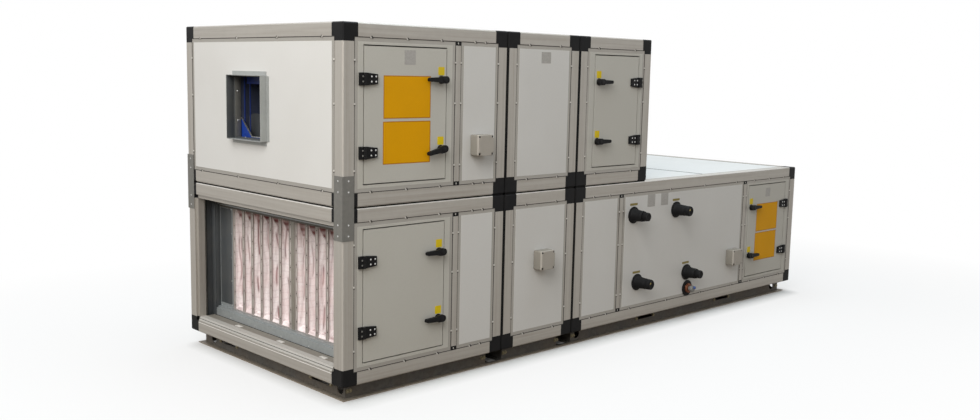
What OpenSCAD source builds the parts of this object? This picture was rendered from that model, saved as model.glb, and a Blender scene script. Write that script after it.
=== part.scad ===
// Two-tier air handling unit: framed sandwich-panel sections on a channel base.
// X runs along the service side, Y runs to the back and Z is up. All lengths in millimetres.

/* [Casing] */
// Depth of every section from service side to back
casing_w = 1480; // [1300:10:1700]
// Height of one section
section_h = 859; // [820:1:960]
// Length of the inlet and fan sections at the left end
end_len = 1060; // [1030:5:1160]
// Length of the blank middle sections
middle_len = 570; // [480:5:760]
// Length of the coil section on the lower tier
coil_len = 2475; // [2440:5:2700]
// Length of the upper section that stands on the coil section
upper_end_len = 660; // [640:5:800]
// Gap between sections in one tier
column_gap = 6; // [4:1:12]
// Gap between the two tiers
row_gap = 7; // [4:1:12]
// Thickness of the sandwich panels
panel_t = 50; // [40:1:60]
// Step from the frame face back to the panel face
panel_recess = 1; // [0.5:0.5:4]

/* [Frame profiles] */
// Visible width of the edge profiles
profile_w = 65; // [55:1:75]
// Visible width of the upright between two panels
mullion_w = 34; // [26:1:50]
// Width of the dark groove beside each profile face
groove_w = 4; // [2:0.5:6]
// Width of the bead that frames each panel
bead_w = 18; // [12:1:24]
// Depth of the groove and of the seat under the bead
bead_depth = 12; // [8:1:16]
// Step from the profile face back to the bead face
bead_recess = 2; // [1:0.5:5]
// Chamfer along the outer edges of the frame
edge_chamfer = 6; // [2:1:12]
// Length of each leg of a corner block
corner_leg = 87; // [81:1:96]

/* [Doors] */
// Gap from the top of a door leaf to the top of its section
door_top_in = 106; // [100:1:140]
// Height of the door leaf above the bottom of its section
door_sill = 108; // [100:1:118]
// Running gap around a door leaf
door_gap = 6; // [5:0.5:8]
// Depth of the full-size front part of a leaf
leaf_front_t = 20; // [12:1:30]
// Step that narrows the back part of a leaf
leaf_step = 10; // [6:1:16]
// Width of the inlet and fan section doors
end_door_w = 507; // [440:1:515]
// Distance of the inlet and fan section doors from the left end
end_door_x = 124; // [110:1:130]
// Width of the coil section door
coil_door_w = 487; // [400:1:500]
// Gap from the coil section door to the right end of the casing
coil_door_in = 133; // [110:1:140]
// Width of the upper end section door
upper_door_w = 400; // [340:1:405]
// Gap from the upper end section door to the right end of its section
upper_door_in = 123; // [110:1:130]

/* [Uprights] */
// Middle of the upright in the inlet and fan sections
end_mullion_x = 711; // [700:1:760]
// Middle of the first upright in the coil section
coil_mullion_x = 425; // [380:1:480]
// Middle of the second upright of the coil section from the section's right end
coil_mullion_far_in = 676; // [660:1:695]
// Place of the seam across the roof of the coil section from the section's right end
roof_seam_in = 1087; // [900:1:1200]
// Width of the roof seam
roof_seam_w = 3; // [1:0.5:5]

/* [Hinges] */
// Height of a hinge
hinge_h = 60; // [46:1:76]
// Height of the door-side hinge plate at its free end
hinge_tip_h = 46; // [36:1:60]
// Length of the door-side hinge plate from the pin
hinge_reach = 75; // [55:1:90]
// Length of the frame-side hinge plate from the pin
hinge_back = 30; // [22:1:32]
// Thickness of the hinge plates
hinge_t = 11; // [8:0.5:16]
// Radius of the hinge knuckle
knuckle_r = 8; // [6:0.5:9]
// Radius of the hinge pin
pin_r = 3; // [2:0.5:4]
// Height of the lower hinge above the bottom of its section
hinge_low_z = 255; // [230:1:290]
// Distance of the upper hinge below the top of its section
hinge_high_in = 259; // [230:1:290]

/* [Handles] */
// Height of the lower handle above the bottom of its section
handle_low_z = 256; // [230:1:290]
// Distance of the upper handle below the top of its section
handle_high_in = 258; // [230:1:290]
// Distance of the handle spindle from the free edge of the leaf
handle_in = 33; // [18:1:40]
// Radius of the fixed handle base
handle_base_r = 16; // [12:0.5:17.5]
// Height of the fixed handle base
handle_base_t = 12; // [8:1:20]
// Radius of the handle spindle
spindle_r = 5; // [3:0.5:7]
// Thickness of the lever
lever_t = 18; // [12:1:24]
// Width of the round head of the lever
lever_head_w = 36; // [28:1:44]
// Overhang of the lever head past its spindle
lever_head_x = 12; // [6:1:18]
// Reach of the lever from its spindle to its tip
lever_len = 100; // [80:1:130]
// Width of the lever where it leaves its head
lever_shoulder_w = 28; // [22:1:34]
// Width of the lever near its tip
lever_w = 19; // [12:1:24]
// Tilt of the lower lever on the fan section door
lever_tilt = 12; // [0:1:30]

/* [Base] */
// Height of the base channels
base_h = 78; // [76:1:110]
// Sheet thickness of the base channels
base_t = 4; // [3:0.5:6]
// Width of the base channel flanges
base_flange = 31; // [26:1:40]
// Distance of the channel web from the casing face
base_inset = 60; // [52:1:64]
// Radius of the lifting holes in the base
lifting_r = 25; // [15:1:26]
// Distance of the left lifting hole from the left end of the coil section
lifting_left_in = 114; // [104:1:300]
// Distance of the right lifting hole from the right end of the coil section
lifting_right_in = 147; // [104:1:300]
// Distance of the near lifting hole in the end channels from the service side
lifting_near_in = 98; // [96:1:180]
// Distance of the far lifting hole in the end channels from the back
lifting_far_in = 155; // [104:1:200]
// Height of the lifting holes above the floor
lifting_z = 42; // [36:1:44]
// Length of the slots in the base channel webs
slot_len = 152; // [100:1:180]
// Height of the slots
slot_h = 30; // [16:1:34]
// Height of the slot bottoms above the floor
slot_z = 37; // [20:1:40]
// Middle of the near slot in the end channels from the service side
slot_near_in = 264; // [250:1:400]
// Middle of the far slot in the end channels from the back
slot_far_in = 321; // [300:1:400]
// Middle of the left slot under the coil section from the section's left end
slot_left_in = 784; // [600:1:850]
// Middle of the right slot under the coil section from the section's right end
slot_right_in = 813; // [600:1:900]

/* [Filters] */
// Distance of the filter face from the open left end
filter_recess = 138; // [110:1:200]
// Distance of the filters from the top of their section
filter_top_in = 127; // [110:1:140]
// Distance of the wide filter from the back of the casing
filter_far_in = 238; // [200:1:260]
// Width of the narrow filter at the service side
filter_narrow_w = 490; // [470:1:500]
// Height of the filter bottom above the bottom of its section
filter_z = 140; // [130:1:150]
// Distance of the narrow filter from the service side
filter_y = 128; // [110:1:140]
// Width of the bar between the two filters
filter_bar_w = 32; // [20:1:50]
// Thickness of the filter header
header_t = 25; // [20:1:30]
// Width of the header rim
header_rim = 16; // [10:1:22]
// Length of the filter pockets behind the header
pocket_len = 500; // [300:10:520]
// Number of pockets on the wide filter
pocket_count = 6; // [4:1:8]
// Number of pockets on the narrow filter
narrow_pocket_count = 5; // [4:1:6]
// Thickness of the pocket fabric as modelled
fabric_t = 5; // [3:1:8]
// Depth of the channels that hold the filters
filter_channel_t = 30; // [28:1:40]
// Sheet thickness of the filter channels
filter_sheet_t = 3; // [2:0.5:5]
// Distance of the filter channels in front of the filter face
filter_sill_out = 30; // [20:1:45]
// Height of the step at the edge of the filter channels
filter_lip_h = 12; // [6:1:20]
// Depth of the step at the edge of the filter channels
filter_lip_in = 12; // [6:1:16]
// Width of the blank plate's rim
blank_rim = 20; // [12:1:30]
// Width of the upright channels at the sides of the filter frame
side_channel_w = 55; // [30:1:70]

/* [Fan outlet] */
// Width and height of the fan outlet
outlet_size = 335; // [280:5:380]
// Distance of the outlet's near edge from the service side
outlet_y = 646; // [560:1:700]
// Height of the outlet above the bottom of its section
outlet_z = 268; // [240:1:320]
// Reach of the outlet collar out of the casing
collar_out = 38; // [25:1:60]
// Width of the collar flange on the panel
collar_flange = 20; // [15:1:30]
// Sheet thickness of the collar
collar_t = 3; // [2:0.5:5]
// Reach of the flange inside the outlet duct
duct_flange_in = 6; // [3:1:12]
// Place of the duct flange behind the end panel face
duct_flange_x = 8; // [4:1:12]
// Width of the duct flange
duct_flange_w = 34; // [20:1:36]
// Height of the fan cut-off at the side plates
cutoff_side_h = 105; // [80:1:130]
// Height of the fan cut-off in the middle
cutoff_middle_h = 8; // [6:1:40]
// Width over which the fan cut-off slopes down from a side plate
cutoff_slope_w = 104; // [60:1:150]
// Radius of the fan scroll where it is smallest
scroll_r = 190; // [170:5:200]
// Growth of the scroll radius over one turn
scroll_growth = 150; // [120:5:170]
// Sheet thickness of the fan scroll
scroll_t = 4; // [3:0.5:6]
// Radius of the fan inlet
fan_inlet_r = 150; // [120:5:165]

/* [Pipes] */
// Distance of the upper pipe stubs below the top of the coil section
pipe_high_in = 202; // [160:1:260]
// Height of the lower pipe stubs above the bottom of the coil section
pipe_low_z = 229; // [224:1:260]
// Place of the left upper stub along the coil section
pipe_left_high_x = 545; // [525:1:560]
// Place of the left lower stub along the coil section
pipe_left_low_x = 604; // [570:1:640]
// Place of the right upper stub along the coil section
pipe_right_high_x = 987; // [940:1:1040]
// Place of the right lower stub along the coil section
pipe_right_low_x = 1132; // [1090:1:1180]
// Place of the drain along the coil section
drain_x = 1146; // [1100:1:1190]
// Height of the drain above the bottom of the coil section
drain_z = 120; // [118:1:124]
// Radius of the coil pipe stubs
stub_r = 24; // [16:1:26]
// Step that narrows the pipe stubs inside the boots
stub_step = 2; // [1:0.5:3]
// Reach of the pipe stubs from the service side
stub_out = 118; // [60:1:200]
// Wall of the pipe stubs
stub_wall = 4; // [2:0.5:6]
// Radius of the rubber boot flanges
boot_r = 52; // [40:1:53]
// Thickness of the rubber boot flanges
boot_t = 8; // [5:1:14]
// Radius of the rubber boot neck
neck_r = 31; // [28:1:36]
// Reach of the rubber boot neck from the service side
neck_out = 84; // [40:1:100]
// Length over which a boot narrows from its flange to its neck
boot_taper = 30; // [10:1:40]
// Radius of the drain pipe
drain_r = 16; // [10:1:20]
// Reach of the drain pipe from the service side
drain_out = 62; // [40:1:90]
// Radius of the nut on the drain pipe
drain_nut_r = 27; // [22:1:34]
// Thickness of the nut on the drain pipe
drain_nut_t = 16; // [8:1:24]

/* [Junction boxes] */
// Place of the box along the fan section
fan_box_x = 856; // [830:1:900]
// Height of the box above the bottom of the fan section
fan_box_z = 270; // [200:1:340]
// Place of the box along the lower middle section
middle_box_x = 288; // [220:1:340]
// Height of the box above the bottom of the lower middle section
middle_box_z = 478; // [400:1:560]
// Place of the box between the last pipe boot and the second upright of the coil section
coil_box_share = 0.88; // [0.5:0.01:0.95]
// Height of the box above the bottom of the coil section
coil_box_z = 277; // [200:1:340]
// Width of the junction boxes
box_w = 108; // [80:1:120]
// Height of the junction boxes
box_h = 108; // [90:1:130]
// Depth of the junction boxes
box_d = 67; // [45:1:90]
// Depth of the junction box lid
box_lid_t = 14; // [8:1:20]
// Width of the step beside the junction box lid
box_step = 2; // [1:0.5:4]

/* [Splice plates] */
// Height of the angle plates that tie the tiers together
splice_h = 306; // [200:2:380]
// Thickness of the angle plates
splice_t = 2.5; // [1.5:0.5:4]

/* [Hidden] */

round_fn = 48;
overrun = 1;
hinge_clear = 0.3;
knuckle_gap = 1;
seat_gap = 0.3;

lip_w = groove_w + bead_w;
leg_w = profile_w + lip_w;
lower_z = base_h;
upper_z = base_h + section_h + row_gap;
middle_x = end_len + column_gap;
coil_x = middle_x + middle_len + column_gap;
casing_len = coil_x + coil_len;
mullion_half = mullion_w / 2 + lip_w;
door_h = section_h - door_sill - door_top_in;
coil_mullion_far_x = coil_len - coil_mullion_far_in;
pipe_high_z = section_h - pipe_high_in;
gasket_in = edge_chamfer + panel_recess;
gasket_w = profile_w - gasket_in - edge_chamfer;
fan_z = upper_z + outlet_z;

lower_sections = [[0, end_len], [middle_x, middle_len], [coil_x, coil_len]];
upper_sections = [[0, end_len], [middle_x, middle_len], [coil_x, upper_end_len]];
hinge_heights = [hinge_low_z, section_h - hinge_high_in];
handle_high_z = section_h - handle_high_in;
handle_heights = [handle_low_z, handle_high_z];
coil_door_x = coil_len - coil_door_in - coil_door_w;
upper_door_x = upper_end_len - upper_door_in - upper_door_w;
pin_out = hinge_t - knuckle_gap;
wide_filter_y = filter_y + filter_narrow_w + filter_bar_w;
wide_filter_w = casing_w - wide_filter_y - filter_far_in;
filter_h = section_h - filter_z - filter_top_in;
header_x = filter_recess + filter_sheet_t;
last_boot_x = pipe_right_low_x + boot_r;
coil_box_room = coil_mullion_far_x - mullion_half - last_boot_x - box_w;
coil_box_x = last_boot_x + coil_box_share * coil_box_room + box_w / 2;

stub_places = [
    [pipe_left_high_x, pipe_high_z], [pipe_right_high_x, pipe_high_z],
    [pipe_left_low_x, pipe_low_z], [pipe_right_low_x, pipe_low_z]
];

// The model is centred on its own reach, so the origin is in the middle of the footprint.
centre_x = (casing_len - collar_out) / 2;
centre_y = (casing_w + splice_t - stub_out) / 2;

module centred() {
    translate([-centre_x, -centre_y, 0]) children();
}

module both_x(size) {
    children();
    translate([size, 0, 0]) mirror([1, 0, 0]) children();
}

module both_y(size) {
    children();
    translate([0, size, 0]) mirror([0, 1, 0]) children();
}

module both_z(size) {
    children();
    translate([0, 0, size]) mirror([0, 0, 1]) children();
}

// Faces of a section: what is drawn for the service side is turned to the named side.
module on_back() {
    translate([0, casing_w, 0]) mirror([0, 1, 0]) children();
}

module on_left() {
    mirror([1, -1, 0]) children();
}

module on_right(length) {
    translate([length, 0, 0]) mirror([1, 0, 0]) on_left() children();
}

module on_bottom() {
    mirror([0, 1, -1]) children();
}

module on_top() {
    translate([0, 0, section_h]) mirror([0, 0, 1]) on_bottom() children();
}

// Outline of an edge profile, with its outer corner at zero.
module edge_outline() {
    polygon([
        [edge_chamfer, 0], [profile_w, 0], [profile_w, bead_depth], [leg_w, bead_depth],
        [leg_w, panel_t], [panel_t, panel_t], [panel_t, leg_w],
        [bead_depth, leg_w], [bead_depth, profile_w], [0, profile_w], [0, edge_chamfer]
    ]);
}

module run_x(length) {
    rotate([90, 0, 90]) linear_extrude(length) edge_outline();
}

module run_y(length) {
    mirror([0, 1, 0]) rotate([90, 0, 0]) linear_extrude(length) edge_outline();
}

module run_z(length) {
    linear_extrude(length) edge_outline();
}

// Twelve profiles around one section.
module section_frame(length) {
    color("#a8a39a") {
        both_y(casing_w) both_z(section_h)
            translate([corner_leg, 0, 0]) run_x(length - 2 * corner_leg);
        both_x(length) both_z(section_h)
            translate([0, corner_leg, 0]) run_y(casing_w - 2 * corner_leg);
        both_x(length) both_y(casing_w)
            translate([0, 0, corner_leg]) run_z(section_h - 2 * corner_leg);
    }
}

module chamfered_square() {
    polygon([
        [edge_chamfer, 0], [corner_leg, 0], [corner_leg, corner_leg],
        [0, corner_leg], [0, edge_chamfer]
    ]);
}

// Moulded block that joins three profiles, open on the inside and notched for the beads.
module corner_block() {
    notch = corner_leg - profile_w;
    difference() {
        intersection() {
            linear_extrude(corner_leg) chamfered_square();
            rotate([90, 0, 90]) linear_extrude(corner_leg) chamfered_square();
            mirror([0, 1, 0]) rotate([90, 0, 0]) linear_extrude(corner_leg) chamfered_square();
        }
        translate([panel_t, panel_t, panel_t]) cube(corner_leg);
        for (turn = [0, 1, 2])
            rotate(a = turn * 120, v = [1, 1, 1])
                translate([-overrun, profile_w, profile_w])
                    cube([bead_depth + overrun, notch + overrun, notch + overrun]);
    }
}

module corner_set(length) {
    color("#1b1b1c")
        both_x(length) both_y(casing_w) both_z(section_h) corner_block();
}

// Upright between two panels of the service side or the back.
module upright() {
    height = section_h - 2 * leg_w;
    face = mullion_w / 2;
    color("#a8a39a")
        translate([0, 0, leg_w]) linear_extrude(height) polygon([
            [-face, 0], [face, 0], [face, bead_depth], [mullion_half, bead_depth],
            [mullion_half, panel_t], [-mullion_half, panel_t],
            [-mullion_half, bead_depth], [-face, bead_depth]
        ]);
}

// Black end piece that closes an upright against the edge profile.
module upright_caps() {
    color("#1b1b1c")
        both_z(section_h)
            translate([-mullion_w / 2, 0, profile_w]) cube([mullion_w, bead_depth, lip_w]);
}

// Slab and bead ring for a rectangle of a face, given by its low and high corners.
module slab(low, high) {
    translate([low[0], panel_recess, low[1]])
        cube([high[0] - low[0], panel_t - panel_recess, high[1] - low[1]]);
}

module bead_ring(low, high) {
    width = high[0] - low[0];
    height = high[1] - low[1];
    translate([low[0], bead_recess, low[1]]) difference() {
        translate([-bead_w, 0, -bead_w])
            cube([width + 2 * bead_w, bead_depth - bead_recess, height + 2 * bead_w]);
        translate([0, -overrun, 0])
            cube([width, bead_depth + overrun, height]);
    }
}

// Low and high corners of each bay of a face with uprights at the given places.
function bays(length, height, uprights) =
    let (starts = concat([leg_w], [for (place = uprights) place + mullion_half]))
    let (ends = concat([for (place = uprights) place - mullion_half], [length - leg_w]))
    [for (i = [0:len(starts) - 1]) [[starts[i], leg_w], [ends[i], height - leg_w]]];

end_bays = bays(end_len, section_h, [end_mullion_x]);
middle_bays = bays(middle_len, section_h, []);
coil_bays = bays(coil_len, section_h, [coil_mullion_x, coil_mullion_far_x]);
upper_end_bays = bays(upper_end_len, section_h, []);
side_bays = bays(casing_w, section_h, []);

function flat_bays(length, uprights = []) = bays(length, casing_w, uprights);

module slabs(list) {
    for (bay = list) slab(bay[0], bay[1]);
}

module bead_rings(list) {
    for (bay = list) bead_ring(bay[0], bay[1]);
}

module outlet_hole() {
    on_left() translate([outlet_y, -overrun, outlet_z])
        cube([outlet_size, panel_t + 2 * overrun, outlet_size]);
}

module panels_inlet() {
    color("#b9b9b3") centred() translate([0, 0, lower_z]) {
        slabs([end_bays[1]]);
        on_back() slabs(end_bays);
        on_bottom() slabs(flat_bays(end_len));
        on_top() slabs(flat_bays(end_len));
    }
}

module panels_lower_middle() {
    color("#b9b9b3") centred() translate([middle_x, 0, lower_z]) {
        slabs(middle_bays);
        on_back() slabs(middle_bays);
        on_bottom() slabs(flat_bays(middle_len));
        on_top() slabs(flat_bays(middle_len));
    }
}

module panels_coil() {
    color("#b9b9b3") centred() translate([coil_x, 0, lower_z]) {
        slabs([coil_bays[0], coil_bays[1]]);
        on_back() slabs(coil_bays);
        on_bottom() slabs(flat_bays(coil_len));
        difference() {
            on_top() slabs(flat_bays(coil_len));
            translate([coil_len - roof_seam_in, leg_w, section_h - roof_seam_w])
                cube([roof_seam_w, casing_w - 2 * leg_w, roof_seam_w]);
        }
        on_right(coil_len) slabs(side_bays);
    }
}

module panels_fan() {
    color("#b9b9b3") centred() translate([0, 0, upper_z]) {
        slabs([end_bays[1]]);
        on_back() slabs(end_bays);
        on_bottom() slabs(flat_bays(end_len));
        on_top() slabs(flat_bays(end_len));
        difference() {
            on_left() slabs(side_bays);
            outlet_hole();
        }
    }
}

module panels_upper_middle() {
    color("#b9b9b3") centred() translate([middle_x, 0, upper_z]) {
        slabs(middle_bays);
        on_back() slabs(middle_bays);
        on_bottom() slabs(flat_bays(middle_len));
        on_top() slabs(flat_bays(middle_len));
    }
}

module panels_upper_end() {
    color("#b9b9b3") centred() translate([coil_x, 0, upper_z]) {
        on_back() slabs(upper_end_bays);
        on_bottom() slabs(flat_bays(upper_end_len));
        on_top() slabs(flat_bays(upper_end_len));
        on_right(upper_end_len) slabs(side_bays);
    }
}

module beads_lower() {
    color("#9d9c95") centred() translate([0, 0, lower_z]) {
        for (section = [[0, end_len, end_bays], [middle_x, middle_len, middle_bays],
                        [coil_x, coil_len, coil_bays]])
            translate([section[0], 0, 0]) {
                bead_rings(section[2]);
                on_back() bead_rings(section[2]);
                on_bottom() bead_rings(flat_bays(section[1]));
                on_top() bead_rings(flat_bays(section[1]));
            }
        translate([coil_x, 0, 0]) on_right(coil_len) bead_rings(side_bays);
    }
}

module beads_upper() {
    color("#9d9c95") centred() translate([0, 0, upper_z]) {
        for (section = [[0, end_len, end_bays], [middle_x, middle_len, middle_bays],
                        [coil_x, upper_end_len, upper_end_bays]])
            translate([section[0], 0, 0]) {
                bead_rings(section[2]);
                on_back() bead_rings(section[2]);
                on_bottom() bead_rings(flat_bays(section[1]));
                on_top() bead_rings(flat_bays(section[1]));
            }
        on_left() bead_rings(side_bays);
        translate([coil_x, 0, 0]) on_right(upper_end_len) bead_rings(side_bays);
    }
}

module uprights() {
    centred() {
        for (height = [lower_z, upper_z])
            translate([0, 0, height]) both_y(casing_w) translate([end_mullion_x, 0, 0]) upright();
        for (place = [coil_mullion_x, coil_mullion_far_x])
            translate([coil_x + place, 0, lower_z]) both_y(casing_w) upright();
    }
}

module corner_blocks_lower() {
    centred() translate([0, 0, lower_z]) {
        for (section = lower_sections) translate([section[0], 0, 0]) corner_set(section[1]);
        both_y(casing_w) for (place = [end_mullion_x, coil_x + coil_mullion_x, coil_x + coil_mullion_far_x])
            translate([place, 0, 0]) upright_caps();
    }
}

module corner_blocks_upper() {
    centred() translate([0, 0, upper_z]) {
        for (section = upper_sections) translate([section[0], 0, 0]) corner_set(section[1]);
        both_y(casing_w) translate([end_mullion_x, 0, 0]) upright_caps();
    }
}

// Foam ring between two sections that stand side by side.
module gasket_between_columns(place, low) {
    translate([place - column_gap, gasket_in, low + gasket_in]) difference() {
        cube([column_gap, casing_w - 2 * gasket_in, section_h - 2 * gasket_in]);
        translate([-overrun, gasket_w, gasket_w])
            cube([column_gap + 2 * overrun, casing_w - 2 * (gasket_in + gasket_w),
                  section_h - 2 * (gasket_in + gasket_w)]);
    }
}

// Foam ring between a section and the one that stands on it.
module gasket_between_tiers(place, length) {
    translate([place + gasket_in, gasket_in, upper_z - row_gap]) difference() {
        cube([length - 2 * gasket_in, casing_w - 2 * gasket_in, row_gap]);
        translate([gasket_w, gasket_w, -overrun])
            cube([length - 2 * (gasket_in + gasket_w), casing_w - 2 * (gasket_in + gasket_w),
                  row_gap + 2 * overrun]);
    }
}

module section_gaskets() {
    color("#141415") centred() {
        for (low = [lower_z, upper_z], place = [middle_x, coil_x]) gasket_between_columns(place, low);
        for (section = upper_sections) gasket_between_tiers(section[0], section[1]);
    }
}

// Channel ring under one section, drawn whole; the two modules after it cut it at the mitres.
module base_ring(length) {
    flange_in = base_inset - base_flange;
    web_in = base_inset + base_t;
    difference() {
        translate([flange_in, flange_in, 0])
            cube([length - 2 * flange_in, casing_w - 2 * flange_in, base_h]);
        translate([web_in, web_in, -overrun])
            cube([length - 2 * web_in, casing_w - 2 * web_in, base_h + 2 * overrun]);
        difference() {
            translate([flange_in - overrun, flange_in - overrun, base_t])
                cube([length - 2 * (flange_in - overrun), casing_w - 2 * (flange_in - overrun),
                      base_h - 2 * base_t]);
            translate([base_inset, base_inset, 0])
                cube([length - 2 * base_inset, casing_w - 2 * base_inset, base_h]);
        }
    }
}

// Bars that cut the lifting holes and slots: across the coil section, and along the outer ends.
module side_cuts() {
    for (x = [coil_x + lifting_left_in, casing_len - lifting_right_in])
        translate([x, -overrun, lifting_z]) rotate([-90, 0, 0])
            cylinder(r = lifting_r, h = casing_w + 2 * overrun, $fn = round_fn);
    for (x = [coil_x + slot_left_in, casing_len - slot_right_in])
        translate([x - slot_len / 2, -overrun, slot_z])
            cube([slot_len, casing_w + 2 * overrun, slot_h]);
}

module end_cuts() {
    reach = base_inset + 2 * base_t;
    for (x = [-overrun, casing_len - reach]) {
        for (y = [lifting_near_in, casing_w - lifting_far_in])
            translate([x, y, lifting_z]) rotate([0, 90, 0])
                cylinder(r = lifting_r, h = reach + overrun, $fn = round_fn);
        for (y = [slot_near_in, casing_w - slot_far_in])
            translate([x, y - slot_len / 2, slot_z])
                cube([reach + overrun, slot_len, slot_h]);
    }
}

// The service side part of a base ring, up to the mitre lines at its two corners.
module base_side_mask(length) {
    web_in = base_inset + base_t;
    polygon([[0, 0], [length, 0], [length - web_in, web_in], [web_in, web_in]]);
}

module base_side_channels() {
    color("#4c5257") centred() difference() {
        for (section = lower_sections) translate([section[0], 0, 0]) intersection() {
            base_ring(section[1]);
            both_y(casing_w) linear_extrude(base_h) base_side_mask(section[1]);
        }
        side_cuts();
    }
}

module base_end_channels() {
    color("#4c5257") centred() difference() {
        for (section = lower_sections) translate([section[0], 0, 0]) difference() {
            base_ring(section[1]);
            both_y(casing_w) translate([0, 0, -overrun])
                linear_extrude(base_h + 2 * overrun) base_side_mask(section[1]);
        }
        end_cuts();
    }
}

// Angle plate over the corner posts of both tiers.
module splice_plate() {
    middle = upper_z - row_gap / 2;
    translate([0, 0, middle - splice_h / 2]) linear_extrude(splice_h) polygon([
        [-splice_t, -splice_t], [profile_w, -splice_t], [profile_w, 0],
        [0, 0], [0, profile_w], [-splice_t, profile_w]
    ]);
}

module splice_plates() {
    color("#8d9294") centred() both_y(casing_w) splice_plate();
}

// Ring of panel material around a door opening.
module door_surround(bay, place, width) {
    opening_w = width + 2 * door_gap;
    opening_h = door_h + 2 * door_gap;
    difference() {
        slab(bay[0], bay[1]);
        translate([place - door_gap, -overrun, door_sill - door_gap])
            cube([opening_w, panel_t + 2 * overrun, opening_h]);
    }
}

module door_frames() {
    color("#b2b1ab") centred() {
        for (low = [lower_z, upper_z])
            translate([0, 0, low]) door_surround(end_bays[0], end_door_x, end_door_w);
        translate([coil_x, 0, lower_z]) door_surround(coil_bays[2], coil_door_x, coil_door_w);
        translate([coil_x, 0, upper_z]) door_surround(upper_end_bays[0], upper_door_x, upper_door_w);
    }
}

// Door leaf: a full-size front skin and a narrower back part that clears the frame as it swings.
module door_leaf(width) {
    color("#bdbdb7") {
        cube([width, leaf_front_t, door_h]);
        translate([leaf_step, leaf_front_t, leaf_step])
            cube([width - 2 * leaf_step, panel_t - leaf_front_t, door_h - 2 * leaf_step]);
    }
}

module inlet_door() {
    centred() translate([end_door_x, 0, lower_z + door_sill]) door_leaf(end_door_w);
}

module fan_door() {
    centred() translate([end_door_x, 0, upper_z + door_sill]) door_leaf(end_door_w);
}

module coil_door() {
    centred() translate([coil_x + coil_door_x, 0, lower_z + door_sill]) door_leaf(coil_door_w);
}

module upper_end_door() {
    centred() translate([coil_x + upper_door_x, 0, upper_z + door_sill]) door_leaf(upper_door_w);
}

// Door-side hinge leaf with its pin line at zero; the plate runs along +X on the door face.
module moving_hinge_leaf() {
    start = knuckle_r + knuckle_gap;
    bore_r = pin_r + hinge_clear;
    third = hinge_h / 3;
    color("#1d1d1f") difference() {
        union() {
            mirror([0, 1, 0]) rotate([90, 0, 0]) linear_extrude(pin_out) polygon([
                [start, -hinge_h / 2], [hinge_reach, -hinge_tip_h / 2],
                [hinge_reach, hinge_tip_h / 2], [start, hinge_h / 2]
            ]);
            translate([0, 0, knuckle_gap / 2 - third / 2])
                cylinder(r = knuckle_r, h = third - knuckle_gap, $fn = round_fn);
            translate([0, 0, knuckle_gap / 2 - third / 2])
                cube([hinge_reach / 2, knuckle_r, third - knuckle_gap]);
        }
        translate([0, 0, -hinge_h]) cylinder(r = bore_r, h = 2 * hinge_h, $fn = round_fn);
    }
}

// Frame-side hinge leaf with its pin; the plate runs along -X on the frame face.
module fixed_hinge_leaf() {
    third = hinge_h / 3;
    color("#1d1d1f") {
        translate([-hinge_back, 0, -hinge_h / 2])
            cube([hinge_back - knuckle_r - knuckle_gap, pin_out + panel_recess, hinge_h]);
        for (low = [-hinge_h / 2, hinge_h / 2 - third]) translate([0, 0, low]) {
            cylinder(r = knuckle_r, h = third, $fn = round_fn);
            translate([-hinge_back, 0, 0]) cube([hinge_back, knuckle_r, third]);
        }
        translate([0, 0, -hinge_h / 2]) cylinder(r = pin_r, h = hinge_h, $fn = round_fn);
    }
}

// Both hinges of a door whose pin line is at the given place along its section.
module hinge_pair(place, right_hand) {
    for (height = hinge_heights)
        translate([place, -pin_out, height]) mirror([right_hand ? 1 : 0, 0, 0]) children();
}

end_pin_x = end_door_x - door_gap / 2;
coil_pin_x = coil_door_x + coil_door_w + door_gap / 2;
upper_pin_x = upper_door_x + upper_door_w + door_gap / 2;

module inlet_door_hinge_leaves() {
    centred() translate([0, 0, lower_z]) hinge_pair(end_pin_x, false) moving_hinge_leaf();
}

module coil_door_hinge_leaves() {
    centred() translate([coil_x, 0, lower_z]) hinge_pair(coil_pin_x, true) moving_hinge_leaf();
}

module frame_hinge_leaves() {
    centred() translate([0, 0, lower_z]) {
        hinge_pair(end_pin_x, false) fixed_hinge_leaf();
        translate([coil_x, 0, 0]) hinge_pair(coil_pin_x, true) fixed_hinge_leaf();
    }
}

module upper_door_hinges() {
    centred() translate([0, 0, upper_z]) {
        hinge_pair(end_pin_x, false) {
            moving_hinge_leaf();
            fixed_hinge_leaf();
        }
        translate([coil_x, 0, 0]) hinge_pair(upper_pin_x, true) {
            moving_hinge_leaf();
            fixed_hinge_leaf();
        }
    }
}

// Round base that stands on the door face, with the spindle that carries the lever.
module handle_base() {
    color("#1d1d1f") rotate([90, 0, 0]) {
        cylinder(r = handle_base_r, h = handle_base_t, $fn = round_fn);
        cylinder(r = spindle_r, h = handle_base_t + lever_t / 2, $fn = round_fn);
    }
}

// Lever seen from the service side, pointing to -X, with its spindle at zero.
module lever(tilt) {
    head_r = lever_head_w / 2;
    tip_r = lever_w / 2;
    shoulder = lever_shoulder_w / 2;
    inner = lever_len - tip_r;
    color("#161617")
        translate([0, -handle_base_t - seat_gap, 0]) rotate([90, 0, 0]) rotate([0, 0, tilt])
            difference() {
                union() {
                    translate([lever_head_x, 0, 0]) cylinder(r = head_r, h = lever_t, $fn = round_fn);
                    translate([-lever_head_x, 0, 0]) cylinder(r = head_r, h = lever_t, $fn = round_fn);
                    translate([-lever_head_x, -head_r, 0])
                        cube([2 * lever_head_x, lever_head_w, lever_t]);
                    linear_extrude(lever_t) polygon([
                        [0, -shoulder], [0, shoulder], [-inner, tip_r], [-inner, -tip_r]
                    ]);
                    translate([-inner, 0, 0]) cylinder(r = tip_r, h = lever_t, $fn = round_fn);
                }
                translate([0, 0, -overrun])
                    cylinder(r = spindle_r + seat_gap, h = lever_t / 2 + seat_gap + overrun, $fn = round_fn);
            }
}

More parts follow.
